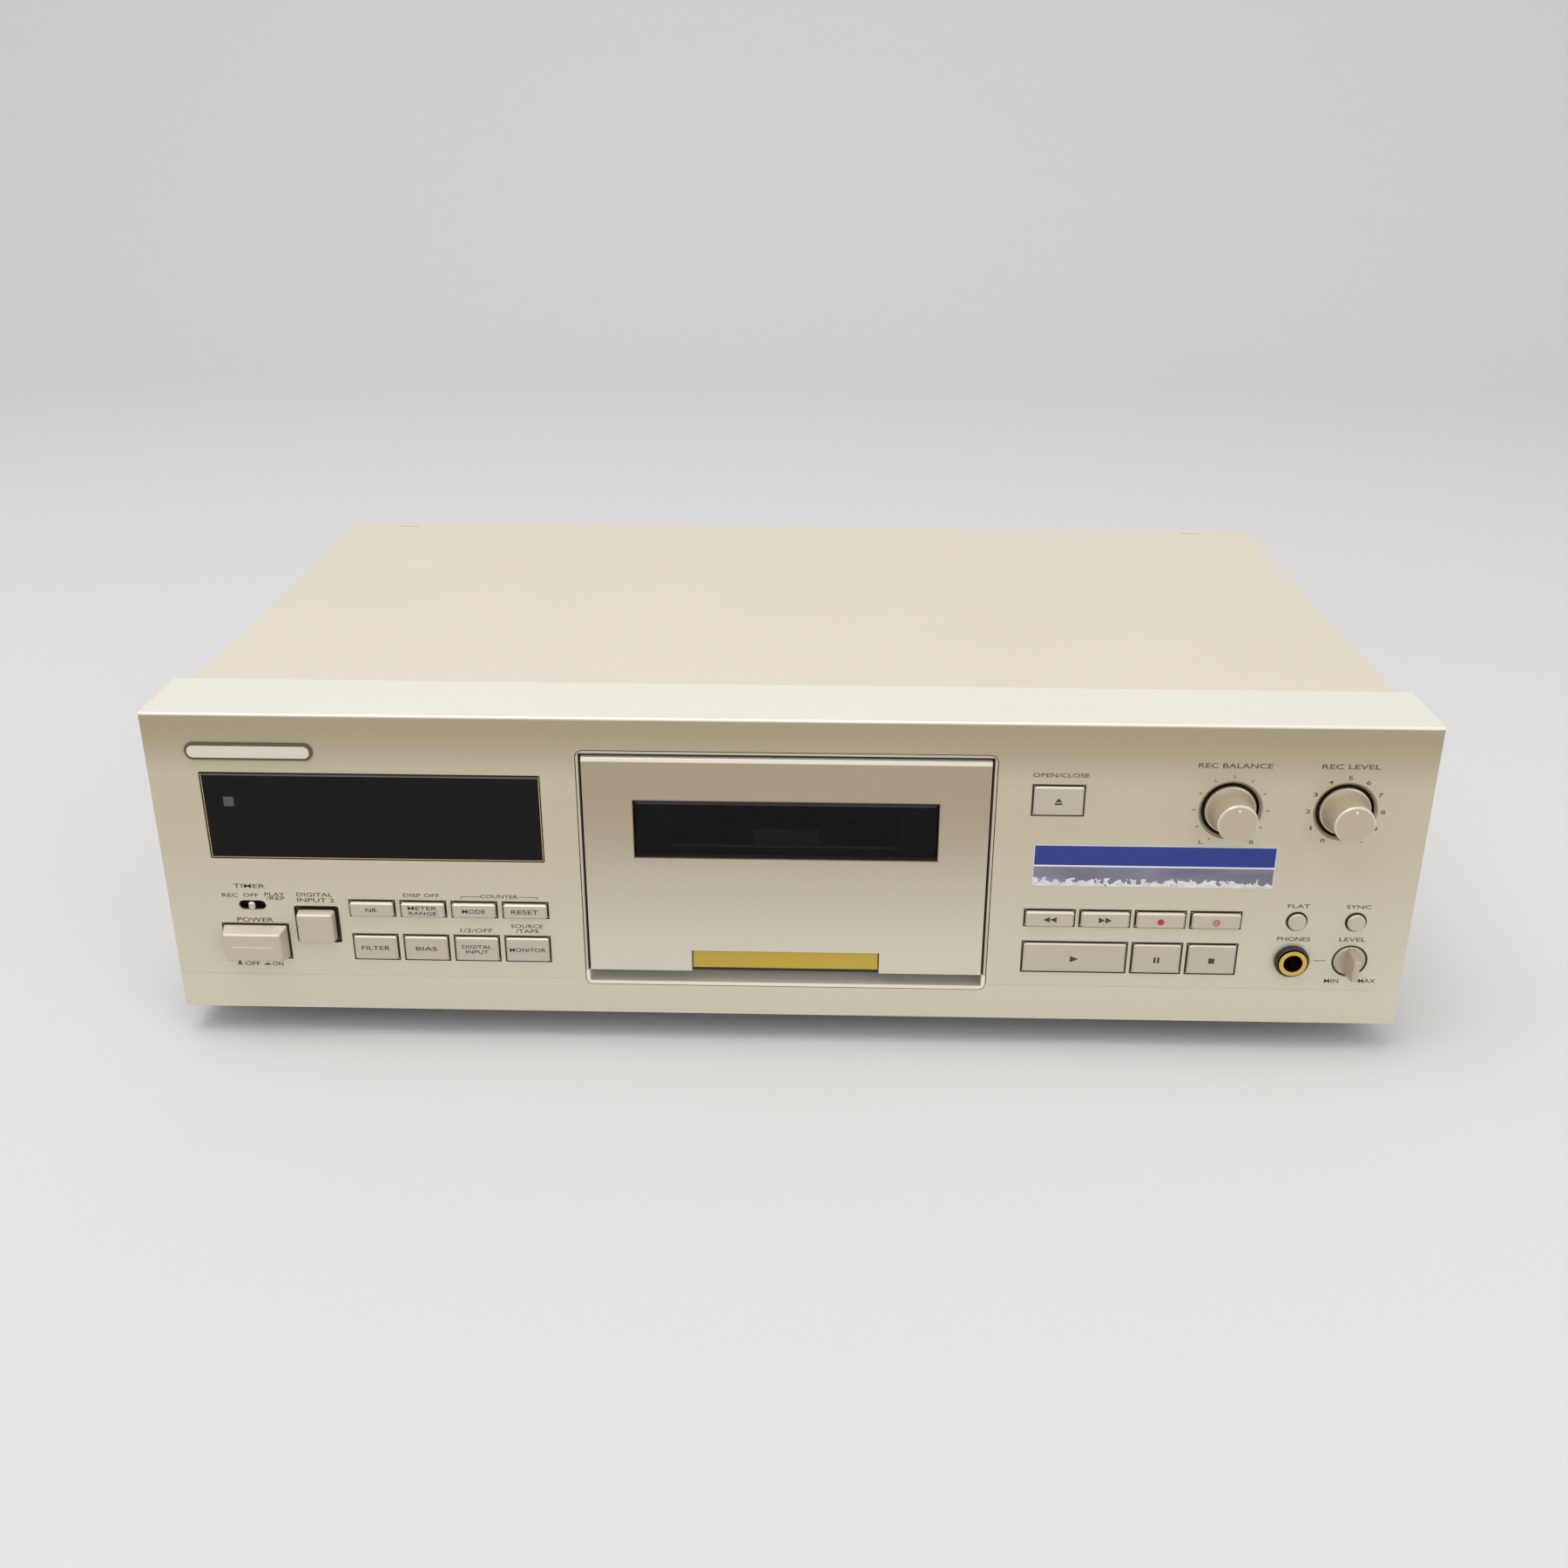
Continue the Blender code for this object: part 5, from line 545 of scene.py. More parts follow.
mm = 0.001
panel_words = bmesh.new()
for word, x, z, width, height in (
        ("TIMER", -181.5, 47.3, 10.8, 1.5), ("REC", -188.5, 43.7, 5.4, 1.35),
        ("OFF", -181.4, 43.8, 5.1, 1.35), ("PLAY", -173.2, 44.2, 6.8, 1.35), ("/REP", -173.0, 42.7, 6.4, 1.3),
        ("POWER", -181.0, 34.4, 12.4, 1.6), ("OFF", -184.1, 17.2, 5.2, 1.5), ("ON", -175.3, 17.2, 3.7, 1.5),
        ("DIGITAL", -159.6, 44.3, 12.2, 1.45), ("INPUT 2", -159.4, 42.2, 12.6, 1.5),
        ("DISP OFF", -123.2, 44.6, 12.3, 1.35), ("COUNTER", -96.8, 44.5, 12.9, 1.35),
        ("1/2/OFF", -105.4, 31.4, 11.0, 1.4), ("SOURCE", -88.0, 33.3, 10.9, 1.4),
        ("/TAPE", -87.9, 31.4, 8.1, 1.4), ("OPEN/CLOSE", 89.2, 91.7, 18.2, 1.45),
        ("REC BALANCE", 144.9, 95.8, 23.8, 1.7), ("L", 136.4, 68.5, 1.2, 1.4), ("R", 153.1, 68.6, 1.5, 1.4),
        ("REC LEVEL", 181.9, 95.9, 18.7, 1.7), ("PHONES", 171.4, 32.7, 11.1, 1.5),
        ("LEVEL", 191.1, 32.8, 8.9, 1.5), ("MIN", 186.1, 16.7, 4.9, 1.5), ("MAX", 198.1, 16.9, 5.8, 1.5),
        ("FLAT", 171.6, 45.2, 7.4, 1.4), ("SYNC", 191.5, 45.2, 8.2, 1.4)):
    add_word(panel_words, word, x * mm, face_z + z * mm, width * mm, height * mm, face_y)
for number in range(11):
    turn = math.radians(-150 + 30 * number)
    across, up = math.sin(turn), math.cos(turn)
    width = {1: 0.6, 10: 2.2}.get(number, 1.5)
    add_word(panel_words, str(number), (182.1 + 12.1 * across) * mm, face_z + (80.0 + 12.0 * up) * mm,
             width * mm, 1.4 * mm, face_y)
    tick = [(-0.13, 11.4), (0.13, 11.4), (0.13, 12.5), (-0.13, 12.5)]
    add_outline(panel_words, [
        ((145.0 + a * up + r * across) * mm, face_z + (80.0 - a * across + r * up) * mm) for a, r in tick],
        face_y - film, face_y)
for x, z, width, height in (
        (-106.5, 44.3, 6.5, 0.2), (-109.7, 43.9, 0.2, 1.0), (181.1, 24.5, 4.1, 0.2),
        (-86.9, 44.4, 6.3, 0.2), (-83.8, 44.0, 0.2, 1.0)):
    bar = bar_outline(x * mm, face_z + z * mm, width * mm, height * mm)
    add_outline(panel_words, bar, face_y - film, face_y)
mesh_piece("panel_printing", panel_words, ink, "casing")
switch_marks = bmesh.new()
for x, z, width, height in (
        (-188.5, 17.7, 1.0, 0.9), (-188.5, 16.9, 1.7, 0.4),
        (-178.9, 16.9, 2.2, 0.4), (-178.9, 17.3, 1.0, 0.4)):
    bar = bar_outline(x * mm, face_z + z * mm, width * mm, height * mm)
    add_outline(switch_marks, bar, face_y - film, face_y)
mesh_piece("switch_marks", switch_marks, dark_ink, "casing")

# The front plate. A long plate with rounded ends is bonded above the display: a dark bronze rim
# round a raised satin face.
bronze = sprayed("dark_bronze", srgb(104, 92, 72), 0.38, 0.5, bump=0.1)
satin = sprayed("satin_silver", srgb(230, 224, 210), 0.32, 0.6, 0.06, 0.05, 0.1)


def rounded_bar(x, z, width, height, radius, steps=8):
    """Outline of a rectangle with round corners."""
    points = []
    for corner_x, corner_z, start in ((1, -1, 270), (1, 1, 0), (-1, 1, 90), (-1, -1, 180)):
        for s in range(steps + 1):
            turn = math.radians(start + 90 * s / steps)
            points.append((x + corner_x * (width / 2 - radius) + radius * math.cos(turn),
                           z + corner_z * (height / 2 - radius) + radius * math.sin(turn)))
    return points


plate_rim, plate_face = bmesh.new(), bmesh.new()
plate_x, plate_z, plate_step = -0.1752, face_z + 0.0967, face_y - 0.0006
add_outline(plate_rim, rounded_bar(plate_x, plate_z, 0.0420, 0.0060, 0.0028), plate_step, face_y)
mesh_piece("plate_rim", plate_rim, bronze, "casing")
add_outline(plate_face, rounded_bar(plate_x, plate_z, 0.0402, 0.0042, 0.0020), face_y - 0.0011, plate_step)
plate_piece = mesh_piece("plate_face", plate_face, satin, "casing")
plate_edge = plate_piece.modifiers.new("edge", "BEVEL")
plate_edge.width = 0.0003
plate_edge.segments = 2

# The display. A thick block of smoked acrylic stands in the front with a narrow gap; the glass
# tube and its black filter lie unlit behind it, with one small square of sensor mesh.
# A group that paints a highlight on faces turned upwards, such as the upper bevels of glass and keys.
upper_highlight, upper_highlight_in, upper_highlight_out = new_group(
    "painted_upper_highlight",
    (("Color", "NodeSocketColor", (0.01, 0.01, 0.01, 1)),
     ("Highlight", "NodeSocketColor", (0.1, 0.1, 0.1, 1))),
    (("Color", "NodeSocketColor"),))
upper_highlight_place = upper_highlight.nodes.new("ShaderNodeTexCoord")
upper_highlight_split = upper_highlight.nodes.new("ShaderNodeSeparateXYZ")
upper_highlight.links.new(upper_highlight_place.outputs["Normal"], upper_highlight_split.inputs["Vector"])
upper_highlight_ramp = upper_highlight.nodes.new("ShaderNodeMapRange")
upper_highlight_ramp.inputs["From Min"].default_value = 0.20
upper_highlight_ramp.inputs["From Max"].default_value = 0.55
upper_highlight.links.new(upper_highlight_split.outputs["Z"], upper_highlight_ramp.inputs["Value"])
upper_highlight_mix = chosen(
    upper_highlight, upper_highlight_ramp.outputs["Result"], upper_highlight_in.outputs["Color"], upper_highlight_in.outputs["Highlight"])
upper_highlight.links.new(upper_highlight_mix, upper_highlight_out.inputs["Color"])


def glassy_finish(name, colour, alpha=1.0):
    """Dark polished acrylic with a painted highlight on its upward-facing bevels, and faint wipe marks in its
    gloss.
    """
    finish, tree, surface = new_finish(name, colour, 0.07)
    surface.inputs["Specular IOR Level"].default_value = 0.16
    surface.inputs["Alpha"].default_value = alpha
    edge = placed(tree, upper_highlight, {"Color": colour, "Highlight": srgb(84, 87, 94)})
    tree.links.new(edge.outputs["Color"], surface.inputs["Base Color"])
    tree.links.new(
        sum_of(tree, "MULTIPLY_ADD", noise_in(tree, 40.0, 3.0), 0.05, 0.05), surface.inputs["Roughness"])
    return finish


dress(["display_window"], glassy_finish("smoked_acrylic", srgb(15, 14, 14)))
tube_glass = moulded_finish("tube_glass", srgb(24, 24, 26), 0.2, 0.0)
dress(["display_tube"], tube_glass)
mesh_square = moulded_finish("sensor_mesh", srgb(84, 82, 78), 0.6)
sensor = bmesh.new()
glass_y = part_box("display_window")[0].y
add_outline(sensor, bar_outline(-0.1842, face_z + 0.0786, 0.0034, 0.0034), glass_y - film, glass_y)
mesh_piece("sensor_mesh", sensor, mesh_square, "casing")


def frame_bars(bm, box, grow, width, front, back, sides="tblr"):
    """Four bars, or fewer, round a box of (x low, x high, z low, z high) grown outwards."""
    x_low, x_high, z_low, z_high = box[0] - grow, box[1] + grow, box[2] - grow, box[3] + grow
    bars = {
        "t": (x_low - width, x_high + width, z_high, z_high + width),
        "b": (x_low - width, x_high + width, z_low - width, z_low),
        "l": (x_low - width, x_low, z_low, z_high), "r": (x_high, x_high + width, z_low, z_high)}
    for side in sides:
        a, b, c, d = bars[side]
        add_outline(bm, [(a, c), (b, c), (b, d), (a, d)], front, back)


def face_box(name):
    """Extent of a solid across the front, as (x low, x high, z low, z high)."""
    low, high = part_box(name)
    return low.x, high.x, low.z, high.z


# Round the display's glass, a dark brown film lines the gap as painted shade, and a thin golden band on its
# lower and side walls is a painted highlight; the same painted shade rings the key holes below.
hole_gap_shade = moulded_finish("hole_gap_shade", srgb(50, 35, 27), 0.6)
gap_wall_highlight = sprayed("gap_wall_highlight", srgb(206, 184, 140), 0.35, 0.4, cloud=0.2)
gap_shade_bars = bmesh.new()
display_box = face_box("display_window")
frame_bars(gap_shade_bars, display_box, 0.00002, 0.00060, face_y + 0.0012, face_y + 0.0026)
mesh_piece("display_gap_shade", gap_shade_bars, hole_gap_shade, "casing")
gap_highlight_bars = bmesh.new()
frame_bars(gap_highlight_bars, display_box, 0.00002, 0.00022, face_y + 0.0002, face_y + 0.0012, "blr")
mesh_piece("display_gap_highlight", gap_highlight_bars, gap_wall_highlight, "casing")

# The keys, power button, timer slide and socket cap. All are moulded and sprayed in a slightly pinker
# champagne than the panel, with a painted highlight on their upward-facing edges and painted shade on their
# sides where they sink into the front, and each runs in its own hole.
keys_paint, keys_tree, keys_surface = new_finish("key_paint", srgb(200, 190, 177), 0.36, 0.3)
keys_edge_highlight = placed(keys_tree, upper_highlight, {"Color": srgb(200, 190, 174), "Highlight": srgb(232, 223, 209)})
keys_side_shade = placed(keys_tree, shade, {
    "Color": keys_edge_highlight.outputs["Color"], "Deep": hole_shade_brown,
    "Start": face_y - 0.00042, "Full": face_y - 0.00030})
join_grain(
    keys_tree, keys_surface,
    {"Paint": keys_side_shade.outputs["Color"], "Sheen": 0.36, "Fleck": 0.08, "Cloud": 0.03},
    0.08, 0.00003)


def front_extent(name):
    """Extent of what a solid shows before the face, as (x low, x high, z low, z high)."""
    shown = [v.co for v in part[name].data.vertices if v.co.y < face_y + film]
    across, up = [co.x for co in shown], [co.z for co in shown]
    return min(across), max(across), min(up), max(up)


key_nodes = sorted(name for name in part if name.endswith("_key"))
# Thin rings of painted shade round each key's hole, and round the round keys and the level knob.
shade_ring_gap, shade_ring_width = 0.00012, 0.00050
hole_shade_rings = bmesh.new()
for key in key_nodes + ["power_button"]:
    if key not in ("flat_key", "synchro_key"):
        frame_bars(hole_shade_rings, front_extent(key), shade_ring_gap, shade_ring_width, face_y - film, face_y + 0.0001)
mesh_piece("hole_shade_rings", hole_shade_rings, hole_gap_shade, "casing")
for round_key in ("flat_key", "synchro_key", "phones_level_knob"):
    x_low, x_high, z_low, z_high = front_extent(round_key)
    inner = (x_high - x_low) / 2 + shade_ring_gap
    ring(f"{round_key}_hole_shade_ring", inner, inner + shade_ring_width, -0.0001, film,
         ((x_low + x_high) / 2, face_y, (z_low + z_high) / 2), (0, -1, 0), hole_gap_shade, "casing")
dress(key_nodes + ["power_button", "timer_switch", "digital_input_cap"], keys_paint)
dress(["flat_key", "synchro_key"], keys_paint, 30)


def key_face(key):
    """Middle of a key's front in x and z, and the y of its front."""
    low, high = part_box(key)
    return (low.x + high.x) / 2, (low.z + high.z) / 2, low.y


for key, lines in (
        ("noise_reduction_key", (("NR", 3.9),)), ("meter_range_key", (("METER", 9.9), ("RANGE", 9.4))),
        ("counter_mode_key", (("MODE", 7.9),)), ("counter_reset_key", (("RESET", 9.2),)),
        ("digital_filter_key", (("FILTER", 9.8),)), ("bias_key", (("BIAS", 7.3),)),
        ("digital_input_key", (("DIGITAL", 10.2), ("INPUT", 7.8))), ("monitor_key", (("MONITOR", 12.4),))):
    x, z, y = key_face(key)
    legend = bmesh.new()
    for index, (word, width) in enumerate(lines):
        drop = 0.0 if len(lines) == 1 else (0.00098 - 0.00196 * index)
        add_word(legend, word, x, z + drop, width * mm, 0.00150 if len(lines) == 1 else 0.00132, y)
    mesh_piece(f"{key}_legend", legend, dark_ink, key)

x, z, y = key_face("power_button")
power_line = bmesh.new()
add_outline(power_line, bar_outline(x, z + 0.0003, 0.0138, 0.00045), y - film, y + 0.0001)
mesh_piece("power_line", power_line, satin, "power_button")

# The tape keys. The transport symbols are printed on them in the same dark ink, with the record
# marks in red.
def arrow(x, z, width, height, way):
    """Triangle that points left or right."""
    tail = x - way * width / 2
    return [(tail, z + height / 2), (tail, z - height / 2), (x + way * width / 2, z)]


for key, way in (("rewind_key", -1), ("fast_forward_key", 1)):
    x, z, y = key_face(key)
    pair = bmesh.new()
    for shift in (-0.00112, 0.00112):
        add_outline(pair, arrow(x + shift, z, 0.0022, 0.0021, way), y - film, y)
    mesh_piece(f"{key}_arrows", pair, dark_ink, key)
x, z, y = key_face("play_key")
play_mark = bmesh.new()
add_outline(play_mark, arrow(x, z - 0.0004, 0.0028, 0.0024, 1), y - film, y)
mesh_piece("play_mark", play_mark, dark_ink, "play_key")
x, z, y = key_face("pause_key")
pause_mark = bmesh.new()
for shift in (-0.00062, 0.00062):
    add_outline(pause_mark, bar_outline(x + shift, z - 0.0004, 0.00075, 0.0022), y - film, y)
mesh_piece("pause_mark", pause_mark, dark_ink, "pause_key")
x, z, y = key_face("stop_key")
stop_mark = bmesh.new()
add_outline(stop_mark, bar_outline(x, z - 0.0004, 0.0020, 0.0020), y - film, y)
mesh_piece("stop_mark", stop_mark, dark_ink, "stop_key")
x, z, y = key_face("open_close_key")
open_mark = bmesh.new()
add_outline(open_mark, [(x - 0.0012, z - 0.0003), (x + 0.0012, z - 0.0003), (x, z + 0.0011)], y - film, y)
add_outline(open_mark, bar_outline(x, z - 0.00095, 0.0024, 0.0006), y - film, y)
mesh_piece("open_mark", open_mark, dark_ink, "open_close_key")
x, z, y = key_face("record_key")
record_mark = bmesh.new()
add_outline(record_mark, round_outline(x, z - 0.0004, 0.00115), y - film, y)
mesh_piece("record_mark", record_mark, red_ink, "record_key")
x, z, y = key_face("record_mute_key")
ring("mute_ring", 0.00095, 0.00125, 0, film, (x, y, z - 0.0004), (0, -1, 0), red_ink, "record_mute_key", 28)
mute_bar = bmesh.new()
for right, up, width, height in (
        (0, 0.5, 1.2, 0.2), (0, -0.5, 1.2, 0.2), (-0.5, 0, 0.2, 0.8), (0.5, 0, 0.2, 0.8), (0, 0, 1.2, 0.2)):
    bar = bar_outline(x + right * mm, z - 0.0004 + up * mm, width * mm, height * mm)
    add_outline(mute_bar, bar, y - film, y)
mesh_piece("mute_square", mute_bar, red_ink, "record_mute_key")

# The cassette well and door. The well is a sprayed moulding with a hollow sill, its sill painted light and
# painted shade laid deeper in and round the door's gap; the door is a blasted aluminium plate with a painted
# highlight on the broad bevel along its top, painted shading that darkens up its front, a smoked window and a
# strip.
well_paint, well_tree, well_surface = new_finish("well_paint", srgb(190, 178, 156), 0.34, 0.45)
door_low, door_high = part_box("door_panel")
well_shadow = srgb(40, 33, 27)
shadow_width = 0.00085
all_depths = {"Start": face_y - 0.011, "Full": face_y - 0.010}
well_sill_light = placed(well_tree, upright, {
    "Low tone": srgb(246, 240, 226), "High tone": srgb(204, 193, 172),
    "Low height": face_z + 0.0160, "High height": face_z + 0.0172})
well_depth_shade = placed(well_tree, shade, {
    "Color": well_sill_light.outputs["Color"], "Deep": well_shadow, "Floor": door_low.z + 0.0002,
    "Start": face_y + 0.0001, "Full": face_y + 0.0008})
well_gap_shade = placed(well_tree, shade, {
    "Color": well_depth_shade.outputs["Color"], "Deep": well_shadow, **all_depths,
    "Half width": door_high.x + shadow_width, "Floor": door_low.z + 0.0002,
    "Ceiling": door_high.z + shadow_width})
join_grain(
    well_tree, well_surface,
    {"Paint": well_gap_shade.outputs["Color"], "Sheen": 0.34, "Fleck": 0.08, "Cloud": 0.05},
    0.08, 0.00003)
dress(["cassette_well"], well_paint, 24)
door_plate, door_tree, door_surface = new_finish("door_plate", srgb(196, 186, 166), 0.34, 0.45)
# Painted shading darkens the door towards its top, and a painted highlight lies along its top bevel.
door_shading_gradient = placed(door_tree, upright, {
    "Low tone": srgb(221, 215, 198), "High tone": srgb(178, 163, 138),
    "Low height": 0.028, "High height": 0.098})
door_top_highlight = placed(door_tree, upright, {
    "Low tone": door_shading_gradient.outputs["Color"], "High tone": srgb(248, 240, 226),
    "Low height": 0.1052, "High height": 0.1058})
join_grain(
    door_tree, door_surface,
    {"Paint": door_top_highlight.outputs["Color"], "Sheen": 0.34, "Fleck": 0.08, "Cloud": 0.03}, 0.08, 0.00003)
dress(["door_panel"], door_plate)
dress(["door_window"], glassy_finish("tinted_acrylic", srgb(14, 13, 13), 0.60))
window_line = moulded_finish("window_line", srgb(128, 104, 90), 0.5)
window_edge = bmesh.new()
door_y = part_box("door_panel")[0].y
frame_bars(window_edge, face_box("door_window"), 0.00005, 0.00022, door_y - film, door_y + 0.0001)
mesh_piece("door_window_edge", window_edge, window_line, "door")
dress(["door_strip"], sprayed("gilt_strip", srgb(203, 172, 66), 0.38, 0.35))
sight_floor = 0.0738
holder_black, holder_tree, holder_surface = new_finish("holder_moulding", srgb(38, 37, 36), 0.42)
holder_tab = placed(holder_tree, shade, {
    "Color": srgb(38, 37, 36), "Deep": srgb(112, 108, 104), **all_depths,
    "Half width": 0.0110, "Floor": sight_floor, "Ceiling": 0.0806})
# A thin painted highlight runs along the lower edge of the holder's sight slot.
holder_slot_highlight = placed(holder_tree, shade, {
    "Color": holder_tab.outputs["Color"], "Deep": srgb(196, 188, 174), **all_depths,
    "Half width": 0.0375, "Floor": sight_floor, "Ceiling": 0.0742})
join_grain(
    holder_tree, holder_surface,
    {"Paint": holder_slot_highlight.outputs["Color"], "Sheen": 0.42, "Fleck": 0.2, "Cloud": 0.2}, 0.1, 0.00003)
dress(["cassette_holder"], holder_black)

# The tape mechanism. Behind the well stand a blackened steel plate, black splined spindles, a
# ground capstan in its turned flywheel, a rubber belt and the chromed heads.
blackened = sprayed("blackened_steel", srgb(58, 56, 54), 0.42, 0.7, 0.15, 0.2, 0.1)
dress(["mech_plate", "flywheel_bracket"], blackened, 24)
dress(["reel_spindle_left", "reel_spindle_right"], black_moulding, 24)
turned_steel, steel_tree, steel_surface = new_finish("turned_steel", srgb(196, 195, 192), 0.24, 1.0)
rings, rings_in, rings_out = new_group(
    "turned_rings",
    (("Axis", "NodeSocketVector", (0, 0, 0)), ("Pitch", "NodeSocketFloat", 4000.0)),
    (("Height", "NodeSocketFloat"), ("Roughness", "NodeSocketFloat")))
rings_place = rings.nodes.new("ShaderNodeTexCoord")
rings_offset = rings.nodes.new("ShaderNodeVectorMath")
rings_offset.operation = "SUBTRACT"
rings.links.new(rings_place.outputs["Object"], rings_offset.inputs[0])
rings.links.new(rings_in.outputs["Axis"], rings_offset.inputs[1])
rings_flat = rings.nodes.new("ShaderNodeVectorMath")
rings_flat.operation = "MULTIPLY"
rings_flat.inputs[1].default_value = (1, 0, 1)
rings.links.new(rings_offset.outputs["Vector"], rings_flat.inputs[0])
rings_length = rings.nodes.new("ShaderNodeVectorMath")
rings_length.operation = "LENGTH"
rings.links.new(rings_flat.outputs["Vector"], rings_length.inputs[0])
ripple = sum_of(rings, "MULTIPLY", rings_length.outputs["Value"], rings_in.outputs["Pitch"])
wave = sum_of(rings, "SINE", ripple)
rings.links.new(wave, rings_out.inputs["Height"])
rings.links.new(sum_of(rings, "MULTIPLY_ADD", wave, 0.04, 0.24), rings_out.inputs["Roughness"])
steel_rings = placed(steel_tree, rings, {"Axis": (0.024, 0.0, 0.0495), "Pitch": 9000.0})
steel_relief = steel_tree.nodes.new("ShaderNodeBump")
steel_relief.inputs["Strength"].default_value = 0.2
steel_relief.inputs["Distance"].default_value = 0.00002
steel_tree.links.new(steel_rings.outputs["Height"], steel_relief.inputs["Height"])
steel_tree.links.new(steel_relief.outputs["Normal"], steel_surface.inputs["Normal"])
steel_tree.links.new(steel_rings.outputs["Roughness"], steel_surface.inputs["Roughness"])
dress(["capstan_flywheel"], turned_steel, 30)
dress(["head_carriage", "pinch_arm", "capstan_motor"], bright, 30)
dress(["motor_pulley"], sprayed("turned_brass", srgb(206, 176, 108), 0.28, 1.0, distance=0.00002), 30)
rubber = moulded_finish("ground_rubber", srgb(44, 42, 41), 0.75, 0.5)
dress(["drive_belt", "pinch_roller"], rubber, 30)

# The two large knobs. Turned and sprayed like the keys, each flares in a hollow curve to a wide base inside a
# chamfered ring, and carries one small white dot; a painted highlight rings its front chamfer, painted shade
# deepens towards the hole, and the chamfered ring is a mid-brown ring of painted shade.
knob_paint, knob_tree, knob_surface = new_finish("knob_paint", srgb(196, 183, 160), 0.34, 0.35)
knob_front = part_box("balance_knob")[0].y
knob_tone = srgb(196, 183, 160)
knob_front_light = placed(knob_tree, shade, {
    "Color": srgb(232, 220, 199), "Deep": knob_tone,
    "Start": knob_front + 0.0006, "Full": knob_front + 0.0007})
knob_chamfer_highlight = placed(knob_tree, shade, {
    "Color": knob_front_light.outputs["Color"], "Deep": knob_tone,
    "Start": knob_front + 0.00003, "Full": knob_front + 0.00002})
knob_hole_shade = placed(knob_tree, shade, {
    "Color": knob_chamfer_highlight.outputs["Color"], "Deep": hole_shade_brown,
    "Start": face_y + 0.0004, "Full": face_y + 0.0014})
join_grain(
    knob_tree, knob_surface,
    {"Paint": knob_hole_shade.outputs["Color"], "Sheen": 0.34, "Fleck": 0.08, "Cloud": 0.03},
    0.08, 0.00003)
dress(["balance_knob", "record_level_knob"], knob_paint, 26)
# A mid-brown ring of painted shade marks the chamfer round each knob's hole.
ring_shade = moulded_finish("ring_shade", srgb(140, 124, 98), 0.5)
white_dot = moulded_finish("white_dot", srgb(244, 240, 230), 0.5, 0.0)
recess_radius = 0.01035
for knob in ("balance_knob", "record_level_knob"):
    x, z, y = key_face(knob)
    ring(f"{knob}_ring", recess_radius - 0.00028, recess_radius, -0.0001, film,
         (x, face_y, z), (0, -1, 0), ring_shade, "casing", 72)
    dot = bmesh.new()
    add_outline(dot, round_outline(x, z + 0.0046, 0.00042, 16), y - film, y)
    mesh_piece(f"{knob}_dot", dot, white_dot, knob)

# The headphone jack and its level knob. A gold-plated bush is held by a black ring nut; beside it
# a disc knob with a tall finger bar stands in a shallow hole.
dress(["phones_jack"], sprayed("gold_plate", srgb(226, 190, 96), 0.22, 1.0, 0.05, 0.1, 0.05, 0.00002), 30)
dress(["phones_jack_nut"], black_moulding, 30)
dress(["phones_level_knob"], knob_paint, 26)

# The foil sticker. A blue band over worn silver foil, with a thin white line between them; the
# foil's lower edge has rubbed through to white paper.
sticker, sticker_tree, sticker_surface = new_finish("foil_sticker", srgb(35, 65, 160), 0.35)
sticker_place = sticker_tree.nodes.new("ShaderNodeTexCoord")
sticker_split = sticker_tree.nodes.new("ShaderNodeSeparateXYZ")
sticker_tree.links.new(sticker_place.outputs["Object"], sticker_split.inputs["Vector"])
sticker_z = sum_of(sticker_tree, "SUBTRACT", sticker_split.outputs["Z"], face_z)
ragged = noise_in(sticker_tree, 420.0, 5.0)
worn_height = sum_of(sticker_tree, "MULTIPLY_ADD", ragged, 0.0092, 0.0490)
worn = sum_of(sticker_tree, "LESS_THAN", sticker_z, worn_height)
line_low, line_high = 0.0588, 0.0594
above_line = sum_of(sticker_tree, "GREATER_THAN", sticker_z, line_high)
in_line = sum_of(sticker_tree, "MULTIPLY", sum_of(sticker_tree, "GREATER_THAN", sticker_z, line_low),
                 sum_of(sticker_tree, "LESS_THAN", sticker_z, line_high))
foil_cloud = noise_in(sticker_tree, 150.0, 5.0, (0.3, 1, 1))
foil = chosen(sticker_tree, foil_cloud, srgb(78, 76, 92), srgb(172, 170, 186))
paper_cloud = noise_in(sticker_tree, 900.0, 3.0, (0.6, 1, 1))
bare_paper = chosen(sticker_tree, paper_cloud, srgb(176, 176, 184), srgb(255, 255, 252))
foil = chosen(sticker_tree, worn, foil, bare_paper)
foil = chosen(sticker_tree, above_line, foil, srgb(27, 52, 140))
foil = chosen(sticker_tree, in_line, foil, srgb(232, 230, 236))
sticker_x = 0.1220
from_middle = sum_of(sticker_tree, "SUBTRACT", sticker_split.outputs["X"], sticker_x)
from_side = sum_of(sticker_tree, "ABSOLUTE", from_middle)
rim = sum_of(sticker_tree, "MAXIMUM", sum_of(sticker_tree, "GREATER_THAN", from_side, 0.03962),
             sum_of(sticker_tree, "GREATER_THAN", sticker_z, 0.06650))
foil = chosen(sticker_tree, rim, foil, srgb(214, 214, 222))
sticker_tree.links.new(foil, sticker_surface.inputs["Base Color"])
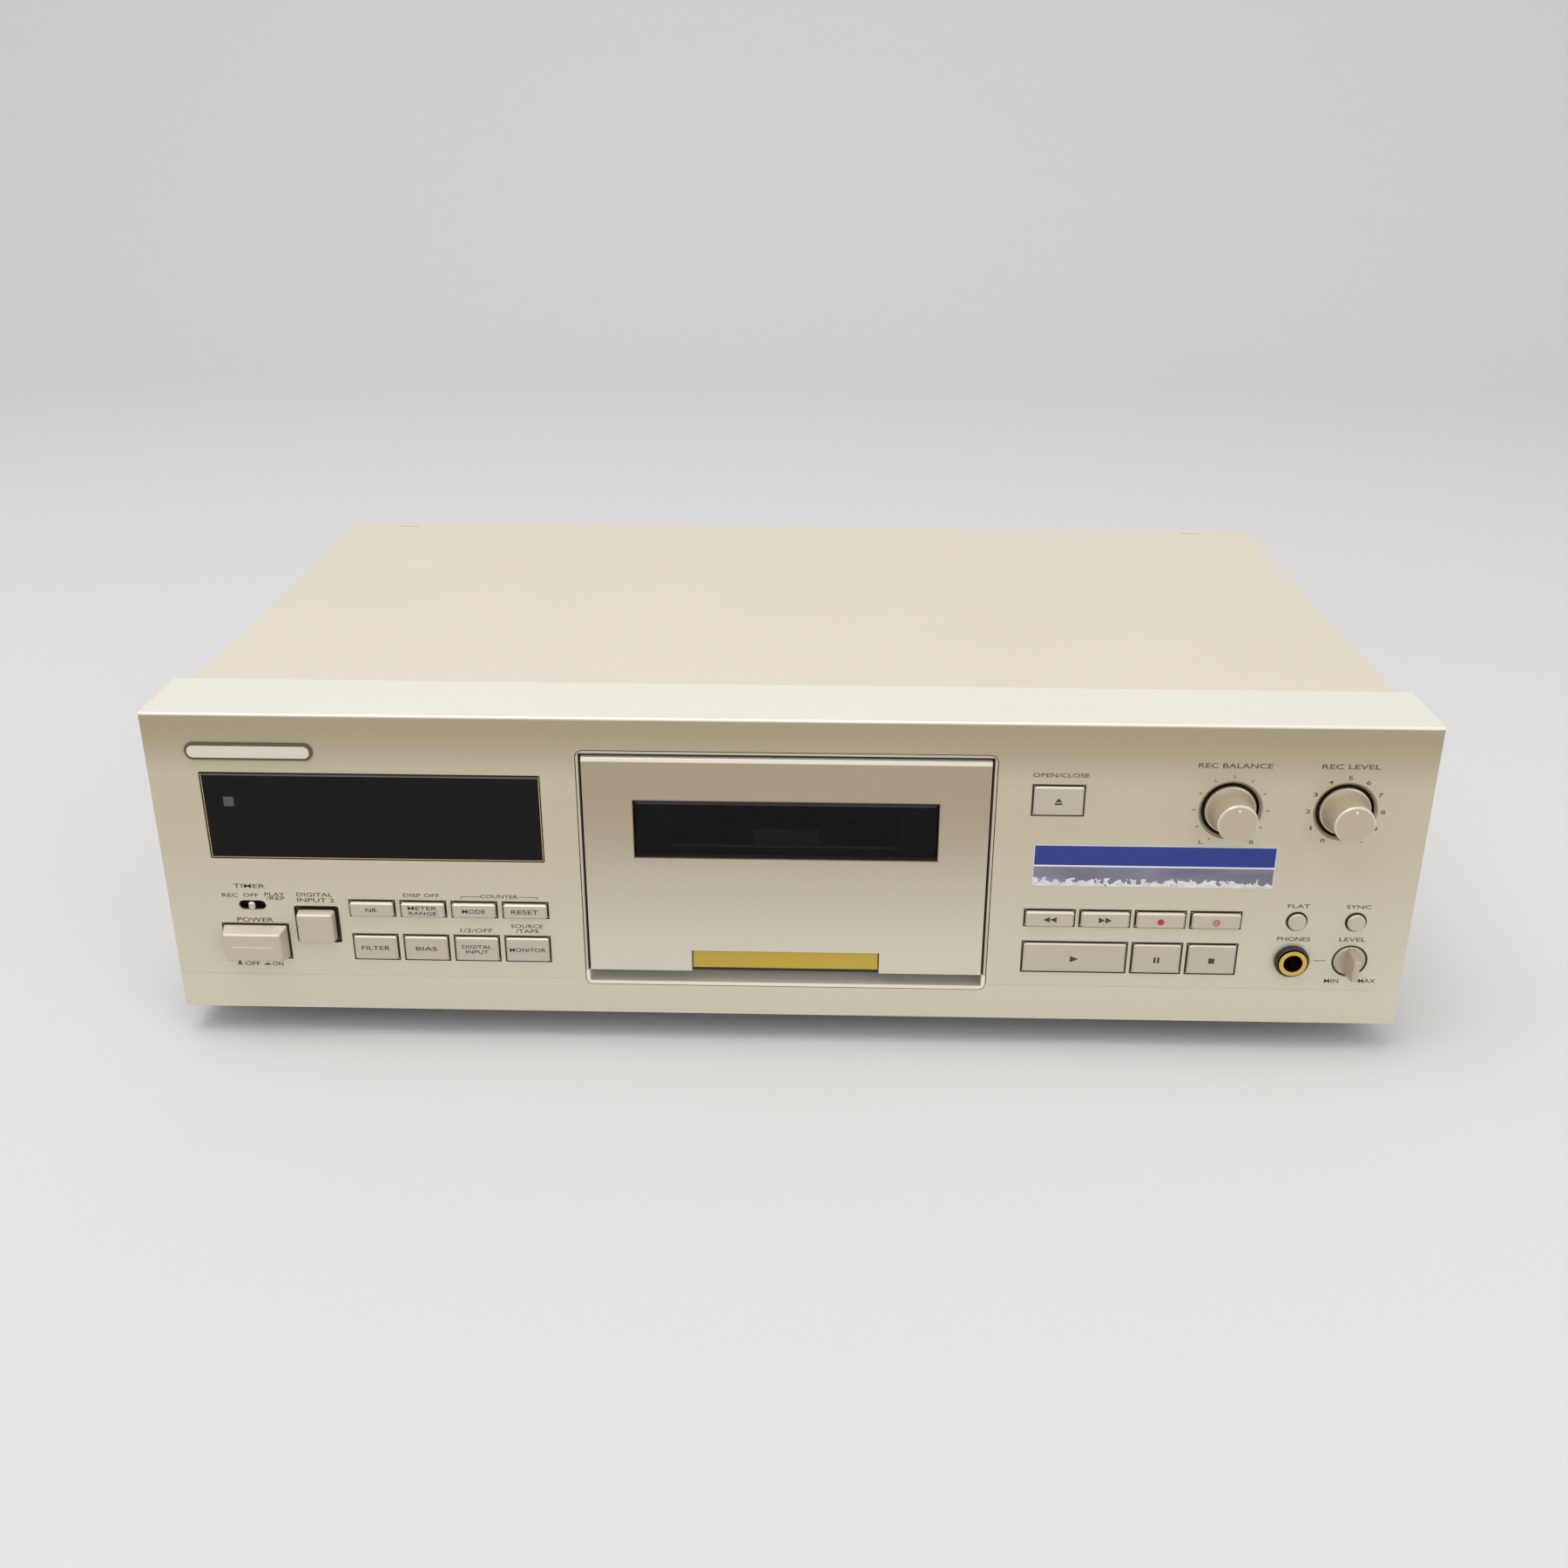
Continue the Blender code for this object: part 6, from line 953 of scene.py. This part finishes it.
foil_metal = sum_of(sticker_tree, "MULTIPLY", sum_of(sticker_tree, "SUBTRACT", 1.0, worn),
                    sum_of(sticker_tree, "LESS_THAN", sticker_z, line_low))
sticker_tree.links.new(sum_of(sticker_tree, "MULTIPLY", foil_metal, 0.6), sticker_surface.inputs["Metallic"])
sticker_relief = sticker_tree.nodes.new("ShaderNodeBump")
sticker_relief.inputs["Strength"].default_value = 0.5
sticker_relief.inputs["Distance"].default_value = 0.0001
sticker_tree.links.new(worn, sticker_relief.inputs["Height"])
sticker_tree.links.new(sticker_relief.outputs["Normal"], sticker_surface.inputs["Normal"])
label = bmesh.new()
add_outline(label, rounded_bar(sticker_x, face_z + 0.05925, 0.0800, 0.0152, 0.0010), face_y - 0.00012, face_y)
mesh_piece("foil_sticker", label, sticker, "casing")

# Inside and back. Bonded-paper boards, a varnished transformer with its winding, a block of four
# line jacks and a two-pin supply inlet, with plain marks printed beside the sockets.
dress(["front_board", "main_board"], moulded_finish("board_resin", srgb(150, 128, 74), 0.5))
dress(["power_transformer"], moulded_finish("varnished_iron", srgb(60, 54, 50), 0.4))
dress(["line_jacks", "ac_inlet", "optical_socket"], black_moulding, 24)
jack_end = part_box("line_jacks")[1].y
white_ring = moulded_finish("white_insulator", srgb(236, 234, 228), 0.4)
red_ring = moulded_finish("red_insulator", srgb(186, 40, 38), 0.4)
for side, x, plastic in (("right", 0.113, red_ring), ("left", 0.127, white_ring)):
    for row, z in (("lower", 0.066), ("upper", 0.080)):
        ring(f"jack_tip_{row}_{side}", 0.0017, 0.0032, -0.0004, 0.0004,
             (x, jack_end, z), (0, 1, 0), plastic, "casing", 28)
rear_ink = bmesh.new()
for word, x, z, width in (
        ("R", 0.113, 0.088, 1.6), ("L", 0.127, 0.088, 1.3), ("IN", 0.138, 0.080, 2.6),
        ("OUT", 0.139, 0.066, 4.4), ("LINE", 0.120, 0.0925, 5.4), ("AC IN", -0.165, 0.053, 7.0)):
    add_word(rear_ink, word, x, z, width * mm, 0.0020, back_y, 1)
mesh_piece("rear_printing", rear_ink, dark_ink, "casing")
